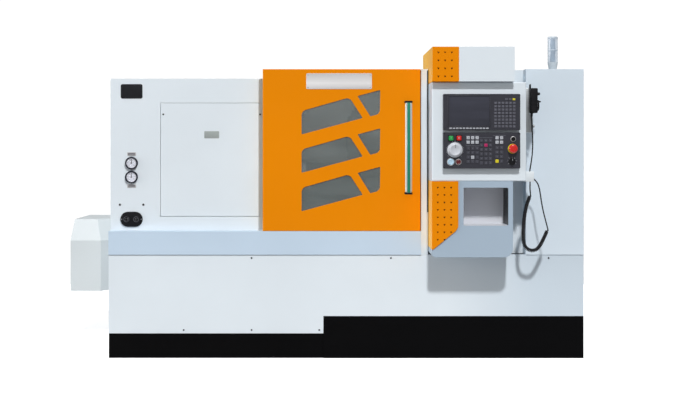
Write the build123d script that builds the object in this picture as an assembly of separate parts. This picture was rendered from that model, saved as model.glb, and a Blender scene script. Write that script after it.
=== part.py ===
"""Slant-bed turning lathe in a sheet-metal enclosure with a sliding front door.

Millimetres, +Z up. While it is modelled, X runs to the right from the middle of the
body, Y runs to the back from the front of the lower panel and Z starts at the floor.
On export everything moves so that the origin is the middle of the footprint.
"""
import os
from math import cos, pi, radians, sin, tan

from build123d import *

# Body
body_width = 2660.0
body_depth = 1600.0
panel_t = 24.0
edge_r = 4.0
overrun = 5.0
fit_gap = 0.3
roof_z = 1619.0
half_width = body_width / 2

# Plinth, tank and lower front
plinth_height = 139.0
tank_height = 236.0
tank_length = 1457.0
tank_left = half_width - tank_length
lower_top = 580.0
toe_recess = 6.0
tank_depth = 900.0
tank_clear = 10.0
plinth_depth = 60.0

# Right cabinet, bay and door post
right_width = 324.0
right_left = half_width - right_width
right_front = -4.0
bay_front = 70.0
bay_width = 547.0
post_right = right_left - bay_width
post_width = 39.0
post_left = post_right - post_width

# Door track
track_height = 131.7
track_top = lower_top + track_height
track_front = -6.0

# Door
door_seam = 4.0
door_width = 883.0
door_right = post_left - door_seam
door_left = door_right - door_width
door_bottom = track_top + fit_gap
door_height = roof_z - door_bottom
door_front = track_front
door_t = 36.0
door_skin = 14.0
door_glass_t = 6.0
frame_overlap = 40.0
window_pitch_share = 0.237
window_rows = 3
glass_lap = 22.0
glass_clear = 1.0
pane_r = 4.0
pane_big_r = 31.0
# Corners of the top two panes as shares of the door's width and height
left_pane_shares = ((0.2469, 0.5965), (0.6342, 0.6979), (0.5504, 0.8247), (0.2469, 0.7409))
left_pane_radii = (pane_r, pane_r, pane_big_r, pane_big_r)
right_pane_shares = ((0.6818, 0.7078), (0.7429, 0.7233), (0.7452, 0.871), (0.6014, 0.8335))
right_pane_radii = (pane_r, pane_big_r, pane_r, pane_r)
door_plate_inset = 244.0
door_plate_width = 367.0
door_plate_height = 88.0
door_plate_drop = 24.0
door_plate_r = 6.0

# Door handle
handle_inset = 70.0
handle_x = door_right - handle_inset
handle_lift = 212.0
handle_drop = 184.0
handle_bottom = door_bottom + handle_lift
handle_top = roof_z - handle_drop
handle_width = 40.0
handle_depth = 30.0
handle_reach = 60.0
handle_r = 8.0
handle_cap = 16.0
strip_width = 17.0
strip_proud = 2.0

# Left cabinet
cabinet_front = 50.0
cabinet_step = 50.0
cabinet_top = roof_z - cabinet_step
cover_margin = 283.0
cover_door_gap = 3.0
cover_lift = 79.3
cover_drop = 139.0
cover_left = -half_width + cover_margin
cover_right = door_left - cover_door_gap
cover_bottom = track_top + cover_lift
cover_top = cabinet_top - cover_drop
cover_t = 12.0
cover_seam = 2.0
cover_lip = 15.0
cover_screw_drop = 63.0
cover_screw_inset = 15.0

# Screws
screw_r = 5.0
screw_head = 3.0
screw_inset = 19.0
lower_screw_z = plinth_height + screw_inset
upper_screw_z = lower_top - screw_inset
lower_screw_shares = (-0.342, -0.199, -0.0566)
upper_screw_shares = (-0.199, 0.0942, 0.4263)
cabinet_bolt_lift = 145.0
cabinet_bolt_pitch = 132.0
cabinet_bolt_r = 7.0

# Fittings of the left cabinet, in a column near its left edge
column_inset = 119.0
column_x = -half_width + column_inset
plate_t = 2.0
dark_plate_width = 123.0
dark_plate_height = 82.0
dark_plate_drop = 72.0
dark_plate_r = 10.0
small_plate_width = 84.0
small_plate_height = 40.0
small_plate_drop = 178.0
gauge_label_width = 49.0
gauge_label_height = 20.0
gauge_label_offset = 51.0

# Pressure gauges
gauge_lift = 301.0
gauge_pitch = 79.0
gauge_zs = (track_top + gauge_lift + gauge_pitch, track_top + gauge_lift)
gauge_r = 36.0
gauge_ring = 6.0
gauge_proud = 13.0
gauge_face_depth = 5.0
needle_length = 24.0
needle_width = 3.0
needle_t = 1.2
needle_hub_r = 4.0
needle_pin_r = 1.5
needle_clear = 0.05

# Foot-switch socket plate
socket_plate_lift = 63.0
socket_plate_z = track_top + socket_plate_lift
socket_plate_width = 126.0
socket_plate_height = 85.0
socket_plate_t = 6.0
socket_pitch = 55.0
socket_r = 13.0
socket_wall = 4.0
socket_proud = 8.0
socket_depth = 11.0

# Left drive guard
guard_reach = 369.0
guard_left = -half_width - guard_reach
guard_nose_width = 188.0
guard_nose_right = guard_left + guard_nose_width
guard_front = 600.0
guard_length = 435.0
guard_back = guard_front + guard_length
guard_side_length = 200.0
guard_side_back = guard_front + guard_side_length
guard_bottom = 289.0
guard_nose_height = 313.0
guard_crease = guard_bottom + guard_nose_height
guard_slope_height = 129.0
guard_top = guard_crease + guard_slope_height
guard_slope_back = 50.0
guard_slope_left = 15.0
guard_slope_right = 33.0

# Signal tower
tower_inset = 151.0
tower_x = half_width - tower_inset
tower_y = 100.0
tower_r = 29.0
tower_base_height = 46.0
tower_lens_height = 138.0
tower_cap_height = 8.0
tower_taper = 6.0

# Inner guards
guard_t = 10.0
work_left = door_left + frame_overlap
work_gap = 6.0
work_right = right_left - work_gap
rear_guard_inset = 27.0
chute_back = 395.0
chute_bottom = 520.0
spindle_hole_r = 78.0

# Bed, spindle and slant
spindle_y = 430.0
spindle_z = 980.0
slant_deg = 45.0
bed_drop = 300.0
bed_low = -230.0
bed_high = 440.0
bed_back_width = 150.0
bed_inset = 330.0
bed_left = -half_width + bed_inset
bed_right_gap = 50.0
bed_right = work_right - bed_right_gap
base_top = 300.0
base_front = 110.0
base_back_gap = 100.0
base_back = body_depth - base_back_gap
base_inset = 90.0
base_pad_height = 30.0
base_pad_size = 160.0
way_width = 60.0
way_height = 40.0
tail_way_us = (-165.0, -35.0)
carriage_way_us = (150.0, 360.0)
way_gap = 12.0
way_left = work_left + way_gap
way_right = bed_right - way_gap

# Headstock, spindle and chuck
head_half = 190.0
head_gap = 33.0
head_right = work_left - head_gap
shaft_clear = 0.05
spindle_r = 70.0
spindle_bore_r = 33.0
spindle_tail = 60.0
nose_r = 95.0
nose_length = 18.0
nose_reach = 97.0
chuck_r = 125.0
chuck_length = 105.0
chuck_left = work_left + nose_reach
chuck_right = chuck_left + chuck_length
chuck_chamfer = 8.0
jaw_count = 3
jaw_inner = 36.0
jaw_outer = 112.0
jaw_width = 38.0
jaw_height = 42.0
jaw_step_height = 24.0
jaw_step_share = 0.45

# Carriage, cross slide and turret
carriage_reach = 335.0
carriage_left = chuck_right + carriage_reach
carriage_length = 260.0
carriage_right = carriage_left + carriage_length
carriage_low = 105.0
carriage_high = 405.0
carriage_t = 62.0
cross_rail_width = 44.0
cross_rail_height = 22.0
cross_rail_inset = 40.0
cross_t = 46.0
cross_inset = 2.0
cross_length = 218.0
cross_left = carriage_left + cross_inset
cross_right = cross_left + cross_length
cross_low = 190.0
cross_high = 430.0
turret_u = 330.0
turret_housing_r = 112.0
turret_r = 160.0
turret_width = 88.0
turret_right = cross_left - fit_gap
turret_left = turret_right - turret_width
turret_sides = 12
tool_count = 6
tool_width = 44.0
tool_reach = 34.0
tool_shank = 16.0
tool_shank_reach = 24.0

# Tailstock
tail_gap = 110.0
tail_left = carriage_right + tail_gap
tail_length = 280.0
tail_right = tail_left + tail_length
tail_low = -195.0
tail_high = 12.0
tail_foot = 62.0
tail_column_low = -78.0
tail_column_high = 62.0
barrel_r = 72.0
quill_r = 40.0
quill_reach = 90.0
quill_inset = 30.0
quill_left = tail_left - quill_reach
quill_right = tail_right - quill_inset
centre_length = 60.0
centre_tip_r = 2.0

# Pendant column
pendant_gap = 2.0
pendant_left = post_right + pendant_gap
cheek_width = 143.0
pendant_mid = pendant_left + cheek_width
beam_width = 442.0
beam_right = pendant_left + beam_width
beam_front = -225.0
beam_rise = 104.0
beam_height = 187.0
beam_top = roof_z + beam_rise
beam_bottom = beam_top - beam_height
beam_back = 325.0
housing_width = 511.0
housing_right = pendant_left + housing_width
housing_front = -190.0
housing_height = 536.0
beam_seam = 2.0
housing_top = beam_bottom - beam_seam
housing_bottom = housing_top - housing_height
housing_r = 6.0
lower_box_width = 439.0
lower_box_right = pendant_left + lower_box_width
lower_box_height = 412.0
lower_box_bottom = housing_bottom - lower_box_height
lower_box_r = 48.0
lower_box_left_r = 20.0
pocket_inset = 25.0
pocket_width = 243.0
pocket_drop = 35.0
pocket_height = 206.0
pocket_right = lower_box_right - pocket_inset
pocket_left = pocket_right - pocket_width
pocket_top = housing_bottom - pocket_drop
pocket_bottom = pocket_top - pocket_height
pocket_depth = 150.0
pocket_r = 8.0
cheek_t = 5.0
cheek_corner_drop = 258.0
cheek_low_drop = 375.0
cheek_corner_z = housing_bottom - cheek_corner_drop
cheek_low_z = housing_bottom - cheek_low_drop
cheek_corner_r = 50.0
cheek_foot_r = 5.0
dimple_r = 7.5
dimple_depth = 3.5
dimple_inset = 31.6
dimple_first_x = pendant_left + dimple_inset
dimple_pitch_x = 36.2
dimple_columns = 3
beam_dimple_drop = 31.0
beam_dimple_top = beam_top - beam_dimple_drop
beam_dimple_pitch = 43.0
beam_dimple_rows = 4
cheek_dimple_drop = 34.0
cheek_dimple_top = housing_bottom - cheek_dimple_drop
cheek_dimple_pitch = 40.3
cheek_dimple_rows = 8

# Display and operator units
unit_inset = 59.0
unit_left = pendant_left + unit_inset
unit_width = 414.0
unit_right = unit_left + unit_width
unit_proud = 28.0
unit_front = housing_front - unit_proud
unit_r = 6.0
display_drop = 65.0
display_height = 196.0
display_top = housing_top - display_drop
display_bottom = display_top - display_height
unit_seam = 11.0
operator_height = 195.0
operator_top = display_bottom - unit_seam
operator_bottom = operator_top - operator_height
screen_inset = 27.0
screen_width = 222.0
screen_lift = 24.0
screen_height = 161.0
screen_left = unit_left + screen_inset
screen_right = screen_left + screen_width
screen_bottom = display_bottom + screen_lift
screen_top = screen_bottom + screen_height
screen_depth = 3.0
key_proud = 3.0
key_w = 15.0
key_h = 13.0
key_pitch_x = 20.0
key_pitch_z = 18.0
cap_w = 17.0
cap_pitch = 24.0
soft_key_h = 8.0
# Key blocks: places as shares of a unit's width and height, columns, rows
display_key_shares = ((0.7995, 0.4286, 6, 8), (0.8696, 0.852, 3, 1))
soft_key_shares = (0.3333, 0.0561, 12, 1)
operator_key_shares = ((0.3804, 0.7897, 3, 2), (0.727, 0.7897, 2, 2), (0.3804, 0.3744, 3, 4),
                       (0.5531, 0.4615, 3, 6), (0.727, 0.3897, 2, 4))

# Push buttons and knobs: places as shares of the operator unit's width and height
button_size = 25.0
button_proud = 9.0
button_travel = 4.0
button_clear = 0.6
start_shares = (0.099, 0.841)
stop_shares = (0.2029, 0.841)
cycle_shares = (0.0966, 0.1846)
hold_shares = (0.1957, 0.1846)
cycle_r = 17.0
hold_r = 13.0
dial_shares = (0.1498, 0.5128)
dial_r = 41.0
dial_skirt = 7.0
dial_height = 24.0
dial_top_r = 33.0
knob_stem_r = 6.0
knob_stem_depth = 8.0
estop_shares = (0.901, 0.5487)
estop_r = 24.0
estop_cap = 16.0
estop_lift = 8.0
estop_travel = 6.0
collar_r = 28.0
collar_t = 6.0
rotary_shares = (0.8937, 0.1949)
rotary_r = 19.0
rotary_height = 16.0
rotary_grip = 8.0
switch_shares = (0.9082, 0.8154)
switch_r = 11.0
switch_height = 12.0
switch_grip = 5.0

# Handset at the housing's right side
holder_t = 26.0
handset_left = housing_right + holder_t
handset_t = 38.0
handset_right = handset_left + handset_t
handset_y = -145.0
handset_width = 82.0
handset_drop = 31.0
handset_height = 135.0
handset_top = housing_top - handset_drop
handset_bottom = handset_top - handset_height
handset_r = 6.0
hook_height = 22.0
hook_width = 30.0
hook_t = 6.0
wheel_lift = 42.0
wheel_z = handset_bottom + wheel_lift
wheel_r = 30.0
wheel_t = 11.0
wheel_grip_r = 5.0
wheel_grip_length = 12.0
wheel_grip_share = 0.68
knob_drop = 31.0
knob_z = handset_top - knob_drop
knob_spread = 36.0
knob_r = 9.0
knob_height = 15.0
bracket_drop = 106.0
bracket_bottom = handset_bottom - bracket_drop
bracket_width = 44.0
bracket_shift = 14.0
bracket_y = handset_y + bracket_shift
bracket_fold = 16.0
bracket_fold_right = handset_left + bracket_fold
bracket_fold_drop = 6.0
bracket_fold_top = handset_bottom - bracket_fold_drop
thumb_lift = 35.0
thumb_z = bracket_bottom + thumb_lift
thumb_offset = -8.0
thumb_r = 8.0
thumb_length = 12.0
relief_length = 20.0
relief_r = 7.0
relief_tip_r = 4.5
clip_drop = 4.0
clip_height = 56.0
clip_bottom = housing_bottom - clip_drop
clip_top = clip_bottom + clip_height
clip_width = 49.0
clip_right = housing_right + clip_width
clip_lead = 10.0
clip_tail = 34.0
clip_front = handset_y - clip_lead
clip_back = handset_y + clip_tail
clip_t = 4.0
gland_r = 9.0

# Handset cord: a plain lead, a curly stretch and a plain lead into the gland.
# Its points are counted from the handset's left, middle and bottom.
lead_d = 7.0
arc_share = 0.45
coil_d = 22.0
upper_lead_offsets = ((8.0, -23.0, -20.0), (10.0, -23.0, -76.0), (13.5, -21.5, -144.0),
                      (13.5, -16.0, -211.0), (8.5, -6.0, -268.0), (3.0, 3.0, -308.0),
                      (2.0, 8.0, -332.0), (10.0, 8.0, -350.0), (29.0, 7.0, -362.0),
                      (48.0, 6.0, -385.0), (58.0, 5.0, -424.0), (65.0, 4.0, -479.0),
                      (76.5, 3.0, -539.0), (90.0, 2.0, -592.0), (101.0, 2.0, -633.0))
coil_offsets = ((101.0, 2.0, -633.0), (81.0, 2.0, -677.0), (60.5, 2.0, -720.0),
                (39.0, 2.0, -746.5), (7.5, 2.0, -752.0), (-21.0, 2.0, -735.5),
                (-33.0, 2.0, -704.0), (-35.0, 2.0, -653.0), (-31.0, 2.0, -590.0),
                (-22.0, 2.0, -528.5), (-9.5, 2.0, -482.0), (6.5, 2.0, -445.0))
lower_lead_offsets = ((6.5, 2.0, -445.0), (4.0, 5.0, -419.0), (5.0, 11.0, -393.0),
                      (7.0, 17.0, -368.0), (3.0, 20.0, -349.0), (-16.0, 20.0, -342.0))

slant = radians(slant_deg)
part_list = {}


def operator_place(shares):
    """A place on the operator panel from shares of its width and height."""
    return unit_left + shares[0] * unit_width, operator_bottom + shares[1] * operator_height


def cord_route(offsets):
    """The cord's points from their offsets to the handset."""
    return [(handset_left + x, handset_y + y, handset_bottom + z) for x, y, z in offsets]


upper_lead_points = cord_route(upper_lead_offsets)
coil_points = cord_route(coil_offsets)
lower_lead_points = cord_route(lower_lead_offsets)
start_place = operator_place(start_shares)
stop_place = operator_place(stop_shares)
cycle_place = operator_place(cycle_shares)
hold_place = operator_place(hold_shares)
dial_place = operator_place(dial_shares)
estop_place = operator_place(estop_shares)
rotary_place = operator_place(rotary_shares)
switch_place = operator_place(switch_shares)


# Plain shapes


def block(x0, x1, y0, y1, z0, z1):
    """A box between six planes."""
    return Pos((x0 + x1) / 2, (y0 + y1) / 2, (z0 + z1) / 2) * Box(x1 - x0, y1 - y0, z1 - z0)


def rod_x(x0, x1, y, z, r):
    return Pos((x0 + x1) / 2, y, z) * Rot(0, 90, 0) * Cylinder(r, x1 - x0)


def rod_y(y0, y1, x, z, r):
    return Pos(x, (y0 + y1) / 2, z) * Rot(90, 0, 0) * Cylinder(r, y1 - y0)


def rod_z(z0, z1, x, y, r):
    return Pos(x, y, (z0 + z1) / 2) * Cylinder(r, z1 - z0)


def front_sheet(outline, y_front, thickness):
    """A flat outline drawn in X and Z, as a plate that starts at y_front and goes back."""
    plane = Plane(origin=(0, y_front, 0), x_dir=(1, 0, 0), z_dir=(0, -1, 0))
    return extrude(plane * outline, amount=thickness, dir=(0, 1, 0))


def side_sheet(points, x0, x1):
    """A flat outline given as (y, z) points, as a solid between two X planes."""
    plane = Plane(origin=(x0, 0, 0), x_dir=(0, 1, 0), z_dir=(1, 0, 0))
    return extrude(plane * Polygon(*points, align=None), amount=x1 - x0, dir=(1, 0, 0))


def rounded_outline(corners):
    """A polygon from (x, z, radius) corners."""
    outline = Polygon(*[(x, z) for x, z, r in corners], align=None)
    for x, z, r in corners:
        nearest = outline.vertices().sort_by_distance((x, z, 0))[0]
        outline = fillet(nearest, r)
    return outline


def soften_front(solid, r=edge_r):
    """Round the edges of the face that looks to the front."""
    return fillet(solid.faces().sort_by(Axis.Y)[0].edges(), r)


def slant_block(x0, x1, u0, u1, n0, n1):
    """A box along the slanted bed: u up the slant, n out from it, both from the spindle axis."""
    place = Pos(0, spindle_y, spindle_z) * Rot(slant_deg, 0, 0)
    return place * block(x0, x1, u0, u1, n0, n1)


def slant_point(u, n):
    """The (y, z) place of a point given along and out from the slant."""
    y = spindle_y + u * cos(slant) - n * sin(slant)
    z = spindle_z + u * sin(slant) + n * cos(slant)
    return y, z


def add(name, solids):
    """Keep one named piece, or a group of like pieces."""
    part_list[name] = solids if isinstance(solids, list) else [solids]


# Bed and drive


def make_cast_bed():
    """One casting: base on pads, slanted bed and its ways."""
    low = slant_point(bed_low, -bed_drop)
    high = slant_point(bed_high, -bed_drop)
    back = high[0] + bed_back_width
    profile = (low, high, (back, high[1]), (back, base_top), (low[0], base_top))
    casting = side_sheet(profile, bed_left, bed_right)
    casting += block(-half_width + base_inset, half_width - base_inset, base_front, base_back,
                     base_pad_height, base_top)
    for u in tail_way_us + carriage_way_us:
        casting += slant_block(way_left, way_right, u - way_width / 2, u + way_width / 2,
                               -bed_drop - overrun, -bed_drop + way_height)
    for x in (-half_width + base_inset, 0, half_width - base_inset - base_pad_size):
        for y in (base_front + base_pad_size, base_back - base_pad_size):
            casting += block(x, x + base_pad_size, y - base_pad_size / 2, y + base_pad_size / 2,
                             0, base_pad_height + overrun)
    return casting - block(tank_left - tank_clear, half_width, base_front - overrun,
                           tank_depth + tank_clear, -overrun, tank_height + tank_clear)


def make_headstock():
    """Cast headstock on the bed, bored for the spindle."""
    solid = slant_block(bed_left, head_right, -head_half, head_half, -bed_drop, head_half)
    return solid - rod_x(bed_left - overrun, head_right + overrun, spindle_y, spindle_z,
                         spindle_r + shaft_clear)


def make_spindle():
    solid = rod_x(bed_left - spindle_tail, chuck_left, spindle_y, spindle_z, spindle_r)
    solid += rod_x(chuck_left - nose_length, chuck_left, spindle_y, spindle_z, nose_r)
    return solid - rod_x(bed_left - spindle_tail - overrun, chuck_left + overrun,
                         spindle_y, spindle_z, spindle_bore_r)


def make_chuck_body():
    solid = rod_x(chuck_left, chuck_right, spindle_y, spindle_z, chuck_r)
    rim = solid.edges().filter_by(GeomType.CIRCLE)
    solid = chamfer(rim, chuck_chamfer)
    return solid - rod_x(chuck_left - overrun, chuck_right + overrun, spindle_y, spindle_z,
                         spindle_bore_r)


def make_jaw(index):
    """A stepped jaw on the chuck face, turned to its place."""
    step = jaw_inner + (jaw_outer - jaw_inner) * jaw_step_share
    jaw = block(chuck_right, chuck_right + jaw_step_height, -jaw_width / 2, jaw_width / 2,
                jaw_inner, jaw_outer)
    jaw += block(chuck_right, chuck_right + jaw_height, -jaw_width / 2, jaw_width / 2,
                 jaw_inner, step)
    turn = Rot(360 * index / jaw_count, 0, 0)
    return Pos(0, spindle_y, spindle_z) * turn * jaw


def make_carriage():
    """Saddle on the upper ways, with two rails for the cross slide."""
    seat = -bed_drop + way_height + fit_gap
    solid = slant_block(carriage_left, carriage_right, carriage_low, carriage_high,
                        seat, seat + carriage_t)
    for x in (cross_left + cross_rail_inset, cross_right - cross_rail_inset):
        solid += slant_block(x - cross_rail_width / 2, x + cross_rail_width / 2, carriage_low,
                             carriage_high, seat + carriage_t - overrun,
                             seat + carriage_t + cross_rail_height)
    return solid


def make_cross_slide():
    """Slide plate with the turret's housing on it."""
    seat = -bed_drop + way_height + carriage_t + cross_rail_height + 2 * fit_gap
    solid = slant_block(cross_left, cross_right, cross_low, cross_high, seat, seat + cross_t)
    solid += slant_block(cross_left, cross_right, turret_u - turret_housing_r,
                         turret_u + turret_housing_r, seat, 0)
    y, z = slant_point(turret_u, 0)
    return solid + rod_x(cross_left, cross_right, y, z, turret_housing_r)


def make_turret():
    """Twelve-sided tool disc with holders round its rim."""
    y, z = slant_point(turret_u, 0)
    disc = extrude(Plane.YZ * RegularPolygon(turret_r, turret_sides, major_radius=False),
                   amount=turret_width)
    solid = Pos(turret_left, 0, 0) * disc
    middle = (turret_left + turret_right) / 2
    for index in range(tool_count):
        holder = block(middle - tool_width / 2, middle + tool_width / 2, -tool_width / 2,
                       tool_width / 2, turret_r - overrun, turret_r + tool_reach)
        holder += block(middle - tool_shank / 2, middle + tool_shank / 2, -tool_shank / 2,
                        tool_shank / 2, turret_r, turret_r + tool_reach + tool_shank_reach)
        solid += Rot(360 * index / tool_count, 0, 0) * holder
    return Pos(0, y, z) * Rot(180 / turret_sides, 0, 0) * solid


def make_tailstock():
    seat = -bed_drop + way_height + fit_gap
    solid = slant_block(tail_left, tail_right, tail_low, tail_high, seat, seat + tail_foot)
    solid += slant_block(tail_left, tail_right, tail_column_low, tail_column_high,
                         seat + tail_foot - overrun, 0)
    solid += rod_x(tail_left, tail_right, spindle_y, spindle_z, barrel_r)
    return solid - rod_x(tail_left - overrun, tail_right + overrun, spindle_y, spindle_z,
                         quill_r + shaft_clear)


def make_quill():
    """Sliding barrel with a pointed centre in its end."""
    solid = rod_x(quill_left, quill_right, spindle_y, spindle_z, quill_r)
    centre = Cone(quill_r - edge_r, centre_tip_r, centre_length)
    point = Pos(quill_left - centre_length / 2, spindle_y, spindle_z) * Rot(0, -90, 0) * centre
    return solid + point


def make_bed_and_drive():
    add("cast_bed", make_cast_bed())
    add("headstock", make_headstock())
    add("spindle", make_spindle())
    add("chuck_body", make_chuck_body())
    for index in range(jaw_count):
        add(f"chuck_jaw_{index + 1}", make_jaw(index))
    add("carriage", make_carriage())
    add("cross_slide", make_cross_slide())
    add("turret", make_turret())
    add("tailstock", make_tailstock())
    add("quill", make_quill())


# Enclosure


def make_lower_panel():
    outline = Polygon((-half_width, plinth_height), (tank_left, plinth_height),
                      (tank_left, tank_height), (half_width, tank_height),
                      (half_width, lower_top), (-half_width, lower_top), align=None)
    return front_sheet(outline, 0, panel_t)


def make_plinth():
    """Black skirt: a front strip and its return along the left end."""
    solid = block(-half_width, tank_left, toe_recess, toe_recess + plinth_depth, 0, plinth_height)
    return solid + block(-half_width, -half_width + plinth_depth, toe_recess,
                         body_depth - panel_t, 0, plinth_height)


def make_left_cabinet():
    """Front of the left cabinet with a rebated opening for the access cover."""
    solid = block(-half_width, work_left, cabinet_front, cabinet_front + panel_t,
                  track_top, cabinet_top)
    solid -= block(cover_left - cover_seam, cover_right + cover_seam, cabinet_front - overrun,
                   cabinet_front + cover_t, cover_bottom - cover_seam, cover_top + cover_seam)
    return solid - block(cover_left + cover_lip, cover_right - cover_lip, cabinet_front,
                         cabinet_front + panel_t + overrun, cover_bottom + cover_lip,
                         cover_top - cover_lip)


def make_end_panel(x0, x1, front, top, bottom):
    """A side of the enclosure; its front edge steps back above the lower panel."""
    back = body_depth - panel_t
    points = ((panel_t, bottom), (back, bottom), (back, top), (front, top), (front, lower_top),
              (panel_t, lower_top))
    return side_sheet(points, x0, x1)


def make_back_panel():
    step = work_left - panel_t
    outline = Polygon((-half_width, plinth_height), (half_width, plinth_height),
                      (half_width, roof_z - panel_t), (step, roof_z - panel_t),
                      (step, cabinet_top - panel_t), (-half_width, cabinet_top - panel_t),
                      align=None)
    return front_sheet(outline, body_depth - panel_t, panel_t)


def make_roofs():
    """Low roof over the left cabinet and high roof with its turned-down front and left edges."""
    back_edge = cabinet_front + panel_t
    step = work_left - panel_t
    low = block(-half_width, step, back_edge, body_depth, cabinet_top - panel_t, cabinet_top)
    high = block(step, half_width, bay_front + panel_t, body_depth, roof_z - panel_t, roof_z)
    high += block(step, work_left, back_edge, body_depth - panel_t, cabinet_top - panel_t, roof_z)
    high += block(step, post_left, back_edge, bay_front + panel_t, roof_z - panel_t, roof_z)
    high += block(step, post_left, cabinet_front, back_edge, cabinet_top, roof_z)
    high += block(right_left, half_width, right_front + panel_t, bay_front + panel_t,
                  roof_z - panel_t, roof_z)
    return [low, high]


def make_bay_panel():
    """Door post and the recessed panel behind the pendant, folded from one sheet."""
    back = bay_front + panel_t
    solid = block(post_left, right_left, bay_front, back, lower_top, roof_z)
    return solid + block(post_left, post_right, 0, back, lower_top, roof_z)


def make_right_cabinet():
    """Front of the electrical cabinet with its return to the bay panel."""
    solid = block(right_left, half_width, right_front, right_front + panel_t, lower_top, roof_z)
    return solid + block(right_left, right_left + panel_t, right_front, bay_front + panel_t,
                         lower_top, roof_z - panel_t)


def make_inner_guards():
    """Splash guards round the work space: headstock wall, tail wall, rear guard, chip chute."""
    front = cabinet_front + panel_t
    ceiling = cabinet_top - panel_t
    low = slant_point(bed_low, -bed_drop + fit_gap)
    high = slant_point(bed_high, -bed_drop + fit_gap)
    bed_edge, bed_top = slant_point(bed_high, -bed_drop)
    rear_guard_y = bed_edge + rear_guard_inset
    head_wall = side_sheet(((front, low[1]), low, high, (rear_guard_y, high[1]),
                            (rear_guard_y, ceiling), (front, ceiling)),
                           work_left - guard_t, work_left)
    head_wall -= rod_x(work_left - guard_t - overrun, work_left + overrun, spindle_y, spindle_z,
                       spindle_hole_r)
    tail_wall = block(work_right, work_right + guard_t, bay_front + panel_t, rear_guard_y,
                      chute_bottom, roof_z - panel_t)
    rear = block(work_left, work_right, rear_guard_y, rear_guard_y + guard_t, bed_top,
                 roof_z - panel_t)
    chute_top = track_top - guard_t
    lip = bay_front + panel_t
    chute = side_sheet(((lip, chute_top), (chute_back, chute_bottom),
                        (chute_back, chute_bottom - guard_t), (lip, chute_top - guard_t)),
                       work_left, work_right)
    return [head_wall, tail_wall, rear, chute]


def make_drive_guard():
    """Sheet cover of the drive at the left end, with a sloped nose."""
    lower = ((-half_width, guard_back), (guard_left, guard_back), (guard_left, guard_front),
             (guard_nose_right, guard_front), (-half_width, guard_side_back))
    upper = ((-half_width, guard_back), (guard_left + guard_slope_left, guard_back),
             (guard_left + guard_slope_left, guard_front + guard_slope_back),
             (guard_nose_right - guard_slope_right, guard_front + guard_slope_back),
             (-half_width, guard_side_back + guard_slope_back))
    foot = Polygon(*lower, align=None)
    solid = extrude(Pos(0, 0, guard_bottom) * foot, amount=guard_crease - guard_bottom)
    crown = loft([Pos(0, 0, guard_crease) * foot, Pos(0, 0, guard_top) * Polygon(*upper, align=None)],
                 ruled=True)
    return solid + crown


def make_signal_tower():
    lens_z = roof_z + tower_base_height
    cap_z = lens_z + tower_lens_height
    base = Pos(tower_x, tower_y, (roof_z + lens_z) / 2) * Cone(tower_r - tower_taper, tower_r,
                                                              tower_base_height)
    lens = rod_z(lens_z, cap_z, tower_x, tower_y, tower_r)
    cap = rod_z(cap_z, cap_z + tower_cap_height, tower_x, tower_y, tower_r)
    cap = fillet(cap.edges().filter_by(GeomType.CIRCLE).sort_by(Axis.Z)[-1], tower_cap_height / 2)
    return [base, lens, cap]


def make_panel_screws():
    """Flat-headed screws of the lower panel and the access cover, and two bolts."""
    lower = [(share * body_width, lower_screw_z, 0, screw_r) for share in lower_screw_shares]
    upper = [(share * body_width, upper_screw_z, 0, screw_r) for share in upper_screw_shares]
    cover = [(x, cover_top - cover_screw_drop, cabinet_front, screw_r)
             for x in (cover_left + cover_screw_inset, cover_right - cover_screw_inset)]
    bolts = [(column_x + side * cabinet_bolt_pitch / 2, track_top + cabinet_bolt_lift, cabinet_front,
              cabinet_bolt_r) for side in (-1, 1)]
    return [rod_y(y - screw_head, y, x, z, r) for x, z, y, r in lower + upper + cover + bolts]


def make_blank_plates():
    """Plain plates on the left cabinet: a dark one, a small one and the gauges' labels."""
    dark = RectangleRounded(dark_plate_width, dark_plate_height, dark_plate_r)
    outlines = [Pos(column_x, cabinet_top - dark_plate_drop) * dark]
    small = Rectangle(small_plate_width, small_plate_height)
    outlines.append(Pos((cover_left + cover_right) / 2, cover_top - small_plate_drop) * small)
    label = Rectangle(gauge_label_width, gauge_label_height)
    for z in (gauge_zs[0] + gauge_label_offset, gauge_zs[-1] - gauge_label_offset):
        outlines.append(Pos(column_x, z) * label)
    return [front_sheet(outline, cabinet_front - plate_t, plate_t) for outline in outlines]


def make_gauge_case(z):
    """Round case with a sunk face and the needle's pin."""
    front = cabinet_front - gauge_proud
    face = front + gauge_face_depth
    solid = rod_y(front, cabinet_front, column_x, z, gauge_r)
    solid -= rod_y(front - overrun, face, column_x, z, gauge_r - gauge_ring)
    return solid + rod_y(face - gauge_face_depth / 2, face + overrun, column_x, z, needle_pin_r)


def make_needle(z):
    """Flat pointer on the pin, pointing up at rest."""
    face = cabinet_front - gauge_proud + gauge_face_depth
    back = face - fit_gap
    solid = rod_y(back - needle_t, back, column_x, z, needle_hub_r)
    solid += block(column_x - needle_width / 2, column_x + needle_width / 2, back - needle_t, back,
                   z, z + needle_length)
    return solid - rod_y(back - needle_t - overrun, back + overrun, column_x, z,
                         needle_pin_r + needle_clear)


def make_socket_plate():
    """Oval plate with two round sockets for the foot switch."""
    outline = Pos(column_x, socket_plate_z) * SlotOverall(socket_plate_width, socket_plate_height)
    front = cabinet_front - socket_plate_t
    solid = front_sheet(outline, front, socket_plate_t)
    for side in (-1, 1):
        x = column_x + side * socket_pitch / 2
        solid += rod_y(front - socket_proud, front + overrun / 2, x, socket_plate_z,
                       socket_r + socket_wall)
        solid -= rod_y(front - socket_proud - overrun, front - socket_proud + socket_depth, x,
                       socket_plate_z, socket_r)
    return solid


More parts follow.
